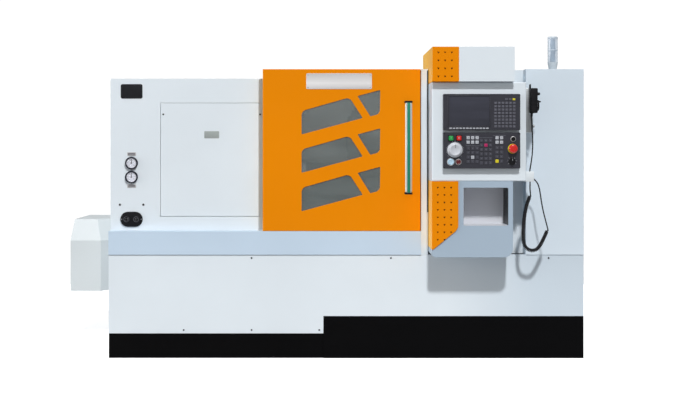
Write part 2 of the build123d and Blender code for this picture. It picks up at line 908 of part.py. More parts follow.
def make_enclosure():
    side_front = cabinet_front + panel_t
    add("lower_front_panel", make_lower_panel())
    add("left_plinth", make_plinth())
    add("coolant_tank", block(tank_left, half_width, 0, tank_depth, 0, tank_height))
    add("door_track", block(-half_width, post_left, track_front, side_front, lower_top, track_top))
    add("left_cabinet_front", make_left_cabinet())
    add("access_cover", soften_front(block(cover_left, cover_right, cabinet_front,
                                           cabinet_front + cover_t, cover_bottom, cover_top),
                                     cover_seam))
    add("left_end_panel", make_end_panel(-half_width, -half_width + panel_t, side_front,
                                         cabinet_top - panel_t, plinth_height))
    add("right_end_panel", make_end_panel(half_width - panel_t, half_width,
                                          right_front + panel_t, roof_z - panel_t, tank_height))
    add("back_panel", make_back_panel())
    add("roof_panels", make_roofs())
    add("bay_panel", make_bay_panel())
    add("right_cabinet", make_right_cabinet())
    add("inner_guards", make_inner_guards())
    add("drive_guard", make_drive_guard())
    add("signal_tower", make_signal_tower())
    add("panel_screws", make_panel_screws())
    add("blank_plates", make_blank_plates())
    add("gauge_cases", [make_gauge_case(z) for z in gauge_zs])
    add("upper_needle", make_needle(gauge_zs[0]))
    add("lower_needle", make_needle(gauge_zs[1]))
    add("socket_plate", make_socket_plate())


# Door


def pane_outlines():
    """The six window outlines in X and Z."""
    panes = []
    for row in range(window_rows):
        for shares, radii in ((left_pane_shares, left_pane_radii), (right_pane_shares, right_pane_radii)):
            corners = []
            for (x_share, z_share), radius in zip(shares, radii):
                x = door_left + x_share * door_width
                z = door_bottom + (z_share - row * window_pitch_share) * door_height
                corners.append((x, z, radius))
            panes.append(rounded_outline(corners))
    return panes


def window_field():
    """Left, right, bottom and top of the glass behind all the panes."""
    corners = left_pane_shares + right_pane_shares
    xs = [door_left + x * door_width for x, z in corners]
    zs = [door_bottom + z * door_height for x, z in corners]
    drop = (window_rows - 1) * window_pitch_share * door_height
    return min(xs) - glass_lap, max(xs) + glass_lap, min(zs) - drop - glass_lap, max(zs) + glass_lap


def make_door_panel():
    solid = block(door_left, door_right, door_front, door_front + door_t, door_bottom, roof_z)
    solid = soften_front(solid)
    left, right, bottom, top = window_field()
    solid -= block(left - glass_clear, right + glass_clear, door_front + door_skin,
                   door_front + door_t + overrun, bottom - glass_clear, top + glass_clear)
    for outline in pane_outlines():
        solid -= front_sheet(outline, door_front - overrun, door_t)
    return solid


def make_door_glass():
    left, right, bottom, top = window_field()
    back = door_front + door_skin
    return block(left, right, back, back + door_glass_t, bottom, top)


def make_door_handle():
    """Grip tube with end caps on stand-offs, and a coloured strip down its front."""
    front = door_front - handle_reach
    section = RectangleRounded(handle_width, handle_depth, handle_r)
    middle = Pos(handle_x, front + handle_depth / 2)
    low = handle_bottom + handle_cap
    high = handle_top - handle_cap
    tube = extrude(Pos(0, 0, low) * middle * section, amount=high - low)
    caps = []
    for z in (handle_bottom, high):
        cap = extrude(Pos(0, 0, z) * middle * section, amount=handle_cap)
        cap += block(handle_x - handle_r, handle_x + handle_r, front + handle_depth / 2, door_front,
                     z, z + handle_cap)
        caps.append(cap)
    strip = block(handle_x - strip_width / 2, handle_x + strip_width / 2, front - strip_proud, front,
                  low, high)
    return [tube, strip] + caps


def make_door_plate():
    middle = Pos(door_left + door_plate_inset + door_plate_width / 2,
                 roof_z - door_plate_drop - door_plate_height / 2)
    outline = middle * RectangleRounded(door_plate_width, door_plate_height, door_plate_r)
    return front_sheet(outline, door_front - plate_t, plate_t)


def make_door():
    add("door_panel", make_door_panel())
    add("door_glass", make_door_glass())
    add("door_handle", make_door_handle())
    add("door_plate", make_door_plate())


# Pendant


def dimples(top, pitch, rows, front):
    """Three-cornered dimples in columns down a cheek."""
    cutters = []
    for row in range(rows):
        for column in range(dimple_columns):
            x = dimple_first_x + column * dimple_pitch_x
            outline = Pos(x, top - row * pitch) * RegularPolygon(dimple_r, 3, rotation=-90)
            cutters.append(front_sheet(outline, front - overrun, overrun + dimple_depth))
    return cutters


def beam_profile(x0, x1):
    """The upper box in front of the roof and back over it."""
    points = ((beam_front, beam_bottom), (bay_front, beam_bottom), (bay_front, roof_z),
              (beam_back, roof_z), (beam_back, beam_top), (beam_front, beam_top))
    return side_sheet(points, x0, x1)


def make_beam_cheek():
    solid = beam_profile(pendant_left, pendant_mid)
    for cutter in dimples(beam_dimple_top, beam_dimple_pitch, beam_dimple_rows, beam_front):
        solid -= cutter
    return solid


def make_lower_cheek():
    """Folded cheek of the lower box: a front sheet with a slanted foot and a side sheet."""
    front = housing_front - cheek_t
    outline = rounded_outline(((pendant_left, housing_bottom, cheek_t),
                               (pendant_left, cheek_low_z, cheek_foot_r),
                               (pendant_mid, cheek_corner_z, cheek_corner_r),
                               (pendant_mid, housing_bottom, edge_r / 2)))
    solid = front_sheet(outline, front, cheek_t)
    for cutter in dimples(cheek_dimple_top, cheek_dimple_pitch, cheek_dimple_rows, front):
        inside = cutter.center().X < pendant_mid - dimple_r
        above = cutter.center().Z > cheek_low_z + dimple_pitch_x
        if inside and above:
            solid -= cutter
    side = block(pendant_left, pendant_left + cheek_t, housing_front, bay_front,
                 cheek_low_z + cheek_foot_r, housing_bottom)
    return solid + side


def make_lower_box():
    """Lower box with rounded bottom corners and an open pocket in its front."""
    outline = rounded_outline(((pendant_left, housing_bottom, edge_r),
                               (pendant_left, lower_box_bottom, lower_box_left_r),
                               (lower_box_right, lower_box_bottom, lower_box_r),
                               (lower_box_right, housing_bottom, edge_r)))
    solid = front_sheet(outline, housing_front, bay_front - housing_front)
    solid -= block(pendant_left - overrun, pendant_left + cheek_t, housing_front - overrun,
                   bay_front + overrun, cheek_low_z + cheek_foot_r, housing_bottom + overrun)
    mouth = Pos((pocket_left + pocket_right) / 2, (pocket_bottom + pocket_top) / 2)
    mouth = mouth * RectangleRounded(pocket_right - pocket_left, pocket_top - pocket_bottom, pocket_r)
    return solid - front_sheet(mouth, housing_front - overrun, pocket_depth + overrun)


def unit_outline(bottom, top):
    middle = Pos((unit_left + unit_right) / 2, (bottom + top) / 2)
    return middle * RectangleRounded(unit_right - unit_left, top - bottom, unit_r)


def make_display_unit():
    solid = front_sheet(unit_outline(display_bottom, display_top), unit_front, unit_proud)
    return solid - block(screen_left, screen_right, unit_front - overrun, unit_front + screen_depth,
                         screen_bottom, screen_top)


def stem_hole(place):
    """Round hole in the operator panel for a knob or button stem."""
    x, z = place
    depth = knob_stem_depth + button_travel + estop_travel
    return rod_y(unit_front - overrun, unit_front + depth, x, z, knob_stem_r + shaft_clear)


def make_operator_panel():
    """Operator panel with pockets for the push buttons and holes for every stem."""
    solid = front_sheet(unit_outline(operator_bottom, operator_top), unit_front, unit_proud)
    sunk = button_travel + 2 * button_clear
    half = button_size / 2 + button_clear
    for x, z in (start_place, stop_place):
        solid -= block(x - half, x + half, unit_front - overrun, unit_front + sunk, z - half, z + half)
    for (x, z), r in ((cycle_place, cycle_r), (hold_place, hold_r)):
        solid -= rod_y(unit_front - overrun, unit_front + sunk, x, z, r + button_clear)
    for place in (start_place, stop_place, cycle_place, hold_place, dial_place, estop_place,
                  rotary_place, switch_place):
        solid -= stem_hole(place)
    return solid


def key_block(shares, bottom, unit_height, pitch_x, pitch_z, width, height):
    """A grid of key caps about one place of a unit."""
    x_share, z_share, columns, rows = shares
    keys = []
    for column in range(columns):
        for row in range(rows):
            left = unit_left + x_share * unit_width + (column - (columns - 1) / 2) * pitch_x - width / 2
            low = bottom + z_share * unit_height + (row - (rows - 1) / 2) * pitch_z - height / 2
            keys.append(block(left, left + width, unit_front - key_proud, unit_front, low, low + height))
    return keys


def make_panel_keys():
    """Key caps of both units and the emergency button's collar."""
    keys = []
    for shares in display_key_shares:
        keys += key_block(shares, display_bottom, display_height, key_pitch_x, key_pitch_z, key_w, key_h)
    keys += key_block(soft_key_shares, display_bottom, display_height, key_pitch_z, key_pitch_z, key_h,
                      soft_key_h)
    for shares in operator_key_shares:
        keys += key_block(shares, operator_bottom, operator_height, cap_pitch, cap_pitch, cap_w, cap_w)
    x, z = estop_place
    collar = rod_y(unit_front - collar_t, unit_front, x, z, collar_r)
    keys.append(collar - rod_y(unit_front - collar_t - overrun, unit_front + overrun, x, z,
                               knob_stem_r + shaft_clear))
    return keys


def stem(place, y0):
    x, z = place
    return rod_y(y0, unit_front + knob_stem_depth, x, z, knob_stem_r)


def make_square_button(place):
    x, z = place
    half = button_size / 2
    cap = block(x - half, x + half, unit_front - button_proud, unit_front + button_clear,
                z - half, z + half)
    return soften_front(cap, edge_r / 2) + stem(place, unit_front)


def make_round_button(place, r):
    x, z = place
    cap = rod_y(unit_front - button_proud, unit_front + button_clear, x, z, r)
    return soften_front(cap, edge_r / 2) + stem(place, unit_front)


def make_feed_dial():
    """Round dial: a wide skirt and a narrower drum with a rounded rim."""
    x, z = dial_place
    base = unit_front - fit_gap
    skirt = soften_front(rod_y(base - dial_skirt, base, x, z, dial_r), edge_r / 2)
    drum = soften_front(rod_y(base - dial_height, base - dial_skirt, x, z, dial_top_r))
    return skirt + drum + stem(dial_place, base)


def make_grip_knob(place, r, height, grip):
    """Round knob with a bar grip across its front."""
    x, z = place
    base = unit_front - fit_gap
    knob = rod_y(base - height / 2, base, x, z, r)
    knob += block(x - grip / 2, x + grip / 2, base - height, base - height / 2, z - r + edge_r / 2,
                  z + r - edge_r / 2)
    return knob + stem(place, base)


def make_estop_button():
    """Mushroom head on a stem through the collar."""
    x, z = estop_place
    back = unit_front - collar_t - estop_lift
    head = rod_y(back - estop_cap, back, x, z, estop_r)
    return soften_front(head, estop_cap / 2) + stem(estop_place, back)


def make_pendant():
    add("pendant_beam", beam_profile(pendant_mid, beam_right))
    add("pendant_cheeks", [make_beam_cheek(), make_lower_cheek()])
    add("pendant_housing", soften_front(block(pendant_left, housing_right, housing_front, bay_front,
                                              housing_bottom, housing_top), housing_r))
    add("lower_box", make_lower_box())
    add("display_unit", make_display_unit())
    add("operator_panel", make_operator_panel())
    add("panel_keys", make_panel_keys())
    add("start_button", make_square_button(start_place))
    add("stop_button", make_square_button(stop_place))
    add("cycle_button", make_round_button(cycle_place, cycle_r))
    add("hold_button", make_round_button(hold_place, hold_r))
    add("feed_dial", make_feed_dial())
    add("mode_knob", make_grip_knob(rotary_place, rotary_r, rotary_height, rotary_grip))
    add("lock_switch", make_grip_knob(switch_place, switch_r, switch_height, switch_grip))
    add("estop_button", make_estop_button())


# Handset and its cord


def handset_stem_hole(y, z):
    return rod_x(handset_right - knob_stem_depth - edge_r, handset_right + overrun, y, z,
                 knob_stem_r + shaft_clear)


def knob_ys():
    return handset_y - knob_spread / 2, handset_y + knob_spread / 2


def make_handset_body():
    """Hand-held box with a hook on top and the cord's boot below."""
    half = handset_width / 2
    solid = block(handset_left, handset_right, handset_y - half, handset_y + half,
                  handset_bottom, handset_top)
    solid = fillet(solid.faces().sort_by(Axis.X)[-1].edges(), handset_r)
    solid += block(handset_left, handset_left + hook_t, handset_y - hook_width / 2,
                   handset_y + hook_width / 2, handset_top - overrun, handset_top + hook_height)
    boot_x, boot_y, boot_z = upper_lead_points[0]
    boot = Cone(relief_tip_r, relief_r, relief_length)
    solid += Pos(boot_x, boot_y, boot_z + relief_length / 2) * boot
    for y in knob_ys():
        solid -= handset_stem_hole(y, knob_z)
    return solid - handset_stem_hole(handset_y, wheel_z)


def make_handset_knob(y, z, r, height):
    base = handset_right + fit_gap
    knob = rod_x(base, base + height, y, z, r)
    return knob + rod_x(handset_right - knob_stem_depth, base, y, z, knob_stem_r)


def make_handset_wheel():
    solid = make_handset_knob(handset_y, wheel_z, wheel_r, wheel_t)
    face = handset_right + fit_gap + wheel_t
    return solid + rod_x(face, face + wheel_grip_length, handset_y,
                         wheel_z + wheel_r * wheel_grip_share, wheel_grip_r)


def make_handset_bracket():
    """Holder on the housing's side, its thumb screw, the cord's clip and the cord's gland."""
    half = bracket_width / 2
    holder = block(housing_right, handset_left, bracket_y - half, bracket_y + half,
                   bracket_bottom, handset_top)
    holder += block(handset_left, bracket_fold_right, bracket_y - half, bracket_y + half,
                    bracket_bottom, bracket_fold_top)
    thumb = rod_x(bracket_fold_right, bracket_fold_right + thumb_length, bracket_y + thumb_offset,
                  thumb_z, thumb_r)
    clip = block(housing_right, housing_right + clip_t, clip_front, clip_back, clip_bottom, clip_top)
    clip += block(housing_right, clip_right, clip_front, clip_front + clip_t, clip_bottom, clip_top)
    clip += block(housing_right, clip_right, clip_back - clip_t, clip_back, clip_bottom, clip_top)
    end_x, end_y, end_z = lower_lead_points[-1]
    gland = rod_x(housing_right + clip_t, end_x, end_y, end_z, gland_r)
    return [holder, thumb, clip, gland]


def make_cord(name, points, diameter):
    """A tube along straight runs joined by arcs as large as the runs allow."""
    places = [Vector(*point) for point in points]
    radii = []
    for before, here, after in zip(places, places[1:], places[2:]):
        turn = radians((here - before).get_angle(after - here))
        shorter = min((here - before).length, (after - here).length)
        radii.append(arc_share * shorter / tan(turn / 2))
    path = FilletPolyline(*places, radius=radii)
    tube = sweep(Plane(origin=path @ 0, z_dir=path % 0) * Circle(diameter / 2), path=path)
    expected = pi * diameter ** 2 / 4 * path.length
    print(name, "length", round(path.length, 1), "smallest radius", round(min(radii), 1),
          "volume share", round(tube.volume / expected, 4))
    return tube


def make_handset():
    add("handset_bracket", make_handset_bracket())
    add("handset_body", make_handset_body())
    add("handset_wheel", make_handset_wheel())
    near, far = knob_ys()
    add("axis_knob", make_handset_knob(near, knob_z, knob_r, knob_height))
    add("rate_knob", make_handset_knob(far, knob_z, knob_r, knob_height))
    add("cord_upper_lead", make_cord("cord_upper_lead", upper_lead_points, lead_d))
    add("cord_coil", make_cord("cord_coil", coil_points, coil_d))
    add("cord_lower_lead", make_cord("cord_lower_lead", lower_lead_points, lead_d))


def write_parts():
    """Move the origin to the middle of the footprint and write one file for each piece."""
    os.makedirs("parts", exist_ok=True)
    rigid = [solid for name, solids in part_list.items() if not name.startswith("cord_")
             for solid in solids]
    box = Compound([piece for solid in rigid for piece in solid.solids()]).bounding_box()
    move = Pos(-box.center().X, -box.center().Y, 0)
    print("moved by", move.position, "box", box.size)
    for name, solids in part_list.items():
        pieces = [move * piece for solid in solids for piece in solid.solids()]
        shape = pieces[0] if len(pieces) == 1 else Compound(pieces)
        export_step(shape, f"parts/{name}.step")


make_bed_and_drive()
make_enclosure()
make_door()
make_pendant()
make_handset()
write_parts()
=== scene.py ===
"""Dressed model of the slant-bed turning lathe: finishes, fittings, handset cord, studio and camera."""
from math import cos, pi, radians, sin, tan

import bmesh
import bpy
from mathutils import Matrix, Vector


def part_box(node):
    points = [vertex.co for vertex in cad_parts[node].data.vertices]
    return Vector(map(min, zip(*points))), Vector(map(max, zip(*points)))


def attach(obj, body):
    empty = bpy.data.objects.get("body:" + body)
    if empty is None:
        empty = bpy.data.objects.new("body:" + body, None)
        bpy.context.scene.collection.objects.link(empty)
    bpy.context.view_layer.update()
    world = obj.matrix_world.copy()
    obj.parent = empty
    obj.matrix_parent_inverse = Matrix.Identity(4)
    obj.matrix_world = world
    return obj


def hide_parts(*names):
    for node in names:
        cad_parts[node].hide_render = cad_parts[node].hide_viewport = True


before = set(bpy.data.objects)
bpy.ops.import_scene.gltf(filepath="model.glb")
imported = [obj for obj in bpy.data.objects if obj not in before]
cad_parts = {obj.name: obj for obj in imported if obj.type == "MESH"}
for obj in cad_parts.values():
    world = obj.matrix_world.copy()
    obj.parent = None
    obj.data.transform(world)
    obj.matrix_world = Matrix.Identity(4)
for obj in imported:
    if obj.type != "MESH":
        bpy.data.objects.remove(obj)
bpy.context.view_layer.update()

scene = bpy.context.scene
panel_low, panel_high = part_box("lower_front_panel")
body_middle = (panel_low[0] + panel_high[0]) / 2
panel_front = panel_low[1]
to_frame = Matrix.Translation((body_middle, panel_front, 0)) @ Matrix.Scale(0.001, 4)


def at(x, y, z):
    """A place in metres from millimetres right of the body's middle, behind the lower panel and up."""
    return to_frame @ Vector((x, y, z))


# Finishes

def tint(red, green, blue):
    """Shader colour from the 0 to 255 values of a screen colour."""
    shares = [value / 255 for value in (red, green, blue)]
    return (*(s / 12.92 if s <= 0.04045 else ((s + 0.055) / 1.055) ** 2.4 for s in shares), 1)


def scaled(colour, share):
    """The same colour, darker or lighter."""
    return (*(min(1, value * share) for value in colour[:3]), 1)


def add_node(tree, kind, inputs=(), **settings):
    """Node with its settings; an input takes a value or another node's socket."""
    node = tree.nodes.new("ShaderNode" + kind)
    for name, value in settings.items():
        setattr(node, name, value)
    for name, value in dict(inputs).items():
        if isinstance(value, bpy.types.NodeSocket):
            tree.links.new(value, node.inputs[name])
        else:
            node.inputs[name].default_value = value
    return node


def object_place(tree, stretch=(1, 1, 1), shift=(0, 0, 0)):
    coordinates = add_node(tree, "TexCoord").outputs["Object"]
    return add_node(tree, "Mapping", {"Vector": coordinates, "Scale": stretch, "Location": shift}).outputs[0]


def grain(tree, place, scale, detail=3.0):
    return add_node(tree, "TexNoise", {"Vector": place, "Scale": scale, "Detail": detail}).outputs["Fac"]


def span(tree, value, low, high, start=0.3, end=0.7):
    return add_node(tree, "MapRange", {"Value": value, "From Min": start, "From Max": end,
                                       "To Min": low, "To Max": high}).outputs[0]


def blend_colour(tree, share, first, second):
    return add_node(tree, "Mix", {0: share, 6: first, 7: second}, data_type="RGBA").outputs[2]


def mottled(tree, pattern, colour, dark, light):
    """Colour that wanders between a darker and a lighter tone."""
    return blend_colour(tree, span(tree, pattern, 0, 1), scaled(colour, dark), scaled(colour, light))


def split_place(tree, place):
    """The three coordinates of a place, as a node's outputs."""
    return add_node(tree, "SeparateXYZ", {0: place}).outputs


def new_finish(name, **sockets):
    """Empty material, its tree and its shader with the constant sockets set."""
    material = bpy.data.materials.new(name)
    material.use_nodes = True
    tree = material.node_tree
    shader = tree.nodes["Principled BSDF"]
    for socket, value in sockets.items():
        shader.inputs[socket.replace("_", " ")].default_value = value
    return material, tree, shader


def surface(tree, shader, colour, roughness=None, bump=None, depth=0.0001, strength=0.3, round_edge=0.0):
    """Links colour, roughness and relief to the shader, with softened hard edges where asked."""
    tree.links.new(colour, shader.inputs["Base Color"])
    if roughness is not None:
        tree.links.new(roughness, shader.inputs["Roughness"])
    normal = None
    if round_edge:
        normal = add_node(tree, "Bevel", {"Radius": round_edge}, samples=4).outputs[0]
    if bump is not None:
        relief = add_node(tree, "Bump", {"Height": bump, "Distance": depth, "Strength": strength})
        if normal is not None:
            tree.links.new(normal, relief.inputs["Normal"])
        normal = relief.outputs[0]
    if normal is not None:
        tree.links.new(normal, shader.inputs["Normal"])


def edge_share(tree, radius):
    """How near a hard edge a point is, from 0 on a flat face to 1 on the edge."""
    rounded = add_node(tree, "Bevel", {"Radius": radius}, samples=4).outputs[0]
    flat = add_node(tree, "NewGeometry").outputs["Normal"]
    agree = add_node(tree, "VectorMath", {0: rounded, 1: flat}, operation="DOT_PRODUCT").outputs["Value"]
    return span(tree, agree, 1.0, 0.0, 0.72, 0.995)


def paint(name, colour, rough=0.36, uneven=0.03, shine=0.5, worn=0.35, left_face_painted_light=None, right_end_painted_shade=None):
    """Powder coat: orange peel, faint cloudiness, uneven gloss and lighter rubbed edges.

    Faces that look left may take a tone of their own as painted light, and the coat may shift to another tone towards
    the machine's right end as painted shade.
    """
    material, tree, shader = new_finish(name, Specular_IOR_Level=shine)
    place = object_place(tree)
    body = mottled(tree, grain(tree, place, 1.7, 4), colour, 1 - uneven, 1 + uneven)
    rubbed = add_node(tree, "Math", {0: edge_share(tree, 0.003), 1: span(tree, grain(tree, place, 35), 0, worn)},
                      operation="MULTIPLY").outputs[0]
    body = blend_colour(tree, rubbed, body, scaled(colour, 1.22))
    # Faces that look left take another tone: painted light.
    if left_face_painted_light:
        facing = split_place(tree, add_node(tree, "TexCoord").outputs["Normal"])["X"]
        body = blend_colour(tree, span(tree, facing, 1, 0, -0.9, -0.5), body, left_face_painted_light)
    # The coat is painted darker and bluer towards the machine's right end: painted shade.
    if right_end_painted_shade:
        change = span(tree, split_place(tree, place)["X"], 0, 1, at(560, 0, 0)[0], at(1060, 0, 0)[0])
        body = blend_colour(tree, change, body, right_end_painted_shade)
    gloss = span(tree, grain(tree, place, 9), rough - 0.05, rough + 0.08)
    surface(tree, shader, body, gloss, grain(tree, place, 420, 2), 0.0003, 0.16, 0.002)
    return material


def service_paint(name, colour, wide, doors, vents, studs):
    """Powder coat of a flat panel with seams of service covers, pressed vents whose slits are darkened as painted
    shade, and screw heads, in millimetres.
    """
    material = paint(name, colour)
    tree = material.node_tree
    shader = tree.nodes["Principled BSDF"]
    parts = split_place(tree, object_place(tree))
    across, up = parts[wide], parts["Z"]
    column = "XY".index(wide)
    slat_pitch = 0.034

    def reckon(kind, first, second=0.0):
        return add_node(tree, "Math", {0: first, 1: second}, operation=kind).outputs[0]

    def place(value):
        return at(value, value, 0)[column]

    def outside(left, right, low, high):
        """Distance beyond a rectangle, negative inside it."""
        beside = reckon("ABSOLUTE", reckon("SUBTRACT", across, (place(left) + place(right)) / 2))
        above = reckon("ABSOLUTE", reckon("SUBTRACT", up, (low + high) / 2000))
        return reckon("MAXIMUM", reckon("SUBTRACT", beside, (right - left) / 2000),
                      reckon("SUBTRACT", above, (high - low) / 2000))

    dark, sunk = 0.0, 0.0
    for door in doors:
        dark = reckon("MAXIMUM", dark, span(tree, reckon("ABSOLUTE", outside(*door)), 1, 0, 0.001, 0.0028))
    for vent in vents:
        inside = span(tree, outside(*vent), 1, 0, -0.004, 0.0)
        slope = reckon("FRACT", reckon("MULTIPLY", up, 1 / slat_pitch))
        sunk = reckon("MAXIMUM", sunk, reckon("MULTIPLY", inside, slope))
        # The slit under each vent slat is darkened: painted shade in the vent's opening.
        slit_shade = reckon("MULTIPLY", inside, span(tree, slope, 1, 0, 0.1, 0.2))
        dark = reckon("MAXIMUM", dark, slit_shade)
    for along, high in studs:
        away = reckon("SQRT", reckon("ADD", reckon("POWER", reckon("SUBTRACT", across, place(along)), 2.0),
                                     reckon("POWER", reckon("SUBTRACT", up, high / 1000), 2.0)))
        dark = reckon("MAXIMUM", dark, span(tree, away, 1, 0, 0.005, 0.006))
    painted = shader.inputs["Base Color"].links[0].from_socket
    tree.links.new(blend_colour(tree, dark, painted, scaled(colour, 0.12)), shader.inputs["Base Color"])
    relief = add_node(tree, "Bump", {"Height": reckon("SUBTRACT", sunk, dark), "Distance": 0.006, "Strength": 0.8,
                                     "Normal": shader.inputs["Normal"].links[0].from_socket})
    tree.links.new(relief.outputs[0], shader.inputs["Normal"])
    return material


def plastic(name, colour, rough=0.45, uneven=0.08, scale=1500, coat=0.0, shine=0.5):
    """Moulded plastic: fine grain, slightly uneven gloss and polished edges."""
    material, tree, shader = new_finish(name, Coat_Weight=coat, Specular_IOR_Level=shine)
    place = object_place(tree)
    body = mottled(tree, grain(tree, place, 60), colour, 1 - uneven, 1 + uneven)
    body = blend_colour(tree, span(tree, edge_share(tree, 0.001), 0, 0.3, 0, 1), body, scaled(colour, 1.5))
    gloss = span(tree, grain(tree, place, 140), rough - 0.07, rough + 0.1)
    surface(tree, shader, body, gloss, grain(tree, place, scale, 2), 0.0001, 0.25, 0.0006)
    return material


def metal(name, colour, rough=0.3, stretch=(4, 260, 260), uneven=0.07, edge=0.0012, bright=1.0):
    """Machined or brushed metal with its lay along the short side of the stretch."""
    material, tree, shader = new_finish(name, Metallic=bright)
    lay = grain(tree, object_place(tree, stretch), 1.0, 5)
    cloud = grain(tree, object_place(tree), 5, 3)
    body = mottled(tree, lay, colour, 1 - uneven, 1 + uneven)
    body = blend_colour(tree, span(tree, cloud, 0, 0.3), body, scaled(colour, 0.8))
    gloss = span(tree, lay, rough - 0.08, rough + 0.12)
    surface(tree, shader, body, gloss, lay, 0.0001, 0.12, edge)
    return material


def silver_with_painted_sheen(name, bright, dull, bottom, top):
    """Silver plate, finely brushed, painted brightest a little below its middle as a painted reflection."""
    material, tree, shader = new_finish(name, Metallic=0.12)
    lay = grain(tree, object_place(tree, (5, 300, 420)), 1.0, 5)
    height = split_place(tree, object_place(tree))["Z"]
    # The bright band a little below the middle is a painted reflection.
    middle = bottom + 0.36 * (top - bottom)
    body = blend_colour(tree, span(tree, height, 0, 1, middle, top), bright, dull)
    body = blend_colour(tree, span(tree, height, 0.5, 0, bottom, middle), body, dull)
    body = blend_colour(tree, span(tree, lay, 0, 0.15), body, dull)
    surface(tree, shader, body, span(tree, lay, 0.34, 0.5), lay, 0.0001, 0.1, 0.0006)
    return material


def turned(name, colour, rough, centre, axis="X"):
    """Turned metal: fine rings about an axis through the centre, in metres."""
    material, tree, shader = new_finish(name, Metallic=0.95)
    place = object_place(tree, shift=tuple(-value for value in centre))
    rings = add_node(tree, "TexWave", {"Vector": place, "Scale": 130.0, "Distortion": 1.2, "Detail": 2.0},
                     wave_type="RINGS", rings_direction=axis).outputs["Fac"]
    body = mottled(tree, grain(tree, place, 14, 4), colour, 0.82, 1)
    gloss = span(tree, rings, rough - 0.06, rough + 0.1, 0, 1)
    surface(tree, shader, body, gloss, rings, 0.0001, 0.1, 0.0012)
    return material


def casting(name, colour):
    """Painted casting: coarse skin, cloudy tone and lighter edges."""
    material, tree, shader = new_finish(name)
    place = object_place(tree)
    cloud = grain(tree, place, 6, 6)
    body = mottled(tree, cloud, colour, 0.82, 1.08)
    body = blend_colour(tree, span(tree, edge_share(tree, 0.004), 0, 0.35, 0, 1), body, scaled(colour, 1.5))
    surface(tree, shader, body, span(tree, cloud, 0.5, 0.7), grain(tree, place, 160, 5), 0.0006, 0.35, 0.003)
    return material


def glass(name, colour, alpha, rough=0.04):
    """Clear or tinted sheet with faint wipe marks."""
    material, tree, shader = new_finish(name, Alpha=alpha, IOR=1.5, Coat_Weight=0.3, Coat_Roughness=0.03)
    wiped = grain(tree, object_place(tree, (1, 1, 5)), 5, 5)
    body = mottled(tree, wiped, colour, 0.9, 1.15)
    surface(tree, shader, body, span(tree, wiped, rough, rough + 0.1))
    return material


def rubber(name, colour):
    """Matt rubber with a fine grain."""
    material, tree, shader = new_finish(name, Specular_IOR_Level=0.3)
    place = object_place(tree)
    body = mottled(tree, grain(tree, place, 40), colour, 0.8, 1.6)
    surface(tree, shader, body, span(tree, grain(tree, place, 200), 0.42, 0.62), grain(tree, place, 1200, 3),
            0.0002, 0.3)
    return material


spindle_axis = tuple((low + high) / 2 for low, high in zip(*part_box("chuck_body")))
turret_axis = tuple((low + high) / 2 for low, high in zip(*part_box("turret")))

coat_white = tint(222, 230, 236)
# The back's covers by left, right, low and high
back_covers = ((-1270, -520, 210, 1400), (-400, 420, 210, 1440), (480, 1270, 210, 1560))
stud_inset = 26

white_paint = paint("white_powder_coat", coat_white)
blue_paint = paint("pale_blue_powder_coat", tint(194, 212, 229))
box_paint = paint("grey_blue_powder_coat", tint(163, 180, 196))
# Orange faces that look left are painted paler: a painted highlight.
orange_paint = paint("orange_powder_coat", tint(232, 135, 1), 0.34, 0.025, 0.08, 0.2, tint(250, 190, 66))
black_paint = paint("black_satin_paint", tint(7, 7, 8), 0.55, 0.2, 0.03, 0.6)
guard_paint = paint("guard_powder_coat", tint(206, 212, 214))
# The lower panel is painted darker and bluer towards its right end: painted shade.
lower_paint = paint("lower_powder_coat", coat_white, right_end_painted_shade=tint(203, 215, 225))
# The housing's faces that look left are painted cooler and darker: painted shade.
housing_paint = paint("housing_powder_coat", coat_white, left_face_painted_light=tint(196, 214, 228))
# The right cabinet's coat is a little bluer than the white coat: painted shade.
cabinet_paint = paint("cabinet_powder_coat_painted_shade", tint(219, 231, 241))
roof_paint = paint("roof_powder_coat", tint(214, 222, 228))
back_paint = service_paint(
    "back_powder_coat", coat_white, "X", [*back_covers, (-400, 420, 1480, 1570)],
    [(-1150, -640, 1050, 1322), (620, 1130, 1180, 1452), (620, 1130, 300, 504)],
    [(x, z) for left, right, low, high in back_covers for x in (left + stud_inset, right - stud_inset)
     for z in (low + stud_inset, (low + high) / 2, high - stud_inset)])
end_paint = service_paint(
    "end_powder_coat", coat_white, "Y", [(120, 820, 320, 1540), (880, 1520, 320, 1540)],
    [(250, 690, 1180, 1418), (250, 690, 420, 590)],
    [(y, z) for y in (146, 794, 906, 1494) for z in (346, 930, 1514)])
grey_casting = casting("grey_casting_paint", tint(128, 134, 136))
dark_casting = casting("dark_casting_paint", tint(92, 98, 102))
chuck_steel = turned("turned_chuck_steel", tint(144, 146, 149), 0.46, spindle_axis)
turret_steel = turned("turned_turret_steel", tint(142, 144, 147), 0.46, turret_axis)
ground_steel = metal("ground_way_steel", tint(148, 150, 153), 0.42)
inner_steel = metal("inner_sheet_steel", tint(196, 200, 202), 0.45, (6, 190, 190), 0.05, 0.0012, 0.4)
insert_gold = metal("coated_insert_gold", tint(196, 156, 62), 0.3, (90, 90, 90), 0.08, 0.0003, 0.8)
guard_steel = metal("bare_sheet_steel", tint(176, 180, 182), 0.38, (6, 190, 190), 0.06)
bright_screw = metal("zinc_screw_steel", tint(150, 152, 154), 0.36, (90, 90, 90), 0.1, 0.0004)
dark_screw = metal("black_oxide_screw", tint(52, 54, 58), 0.42, (90, 90, 90), 0.15, 0.0004)
satin_plate = metal("satin_aluminium_plate", tint(198, 196, 196), 0.4, (5, 300, 420), 0.04, 0.0006, 0.55)
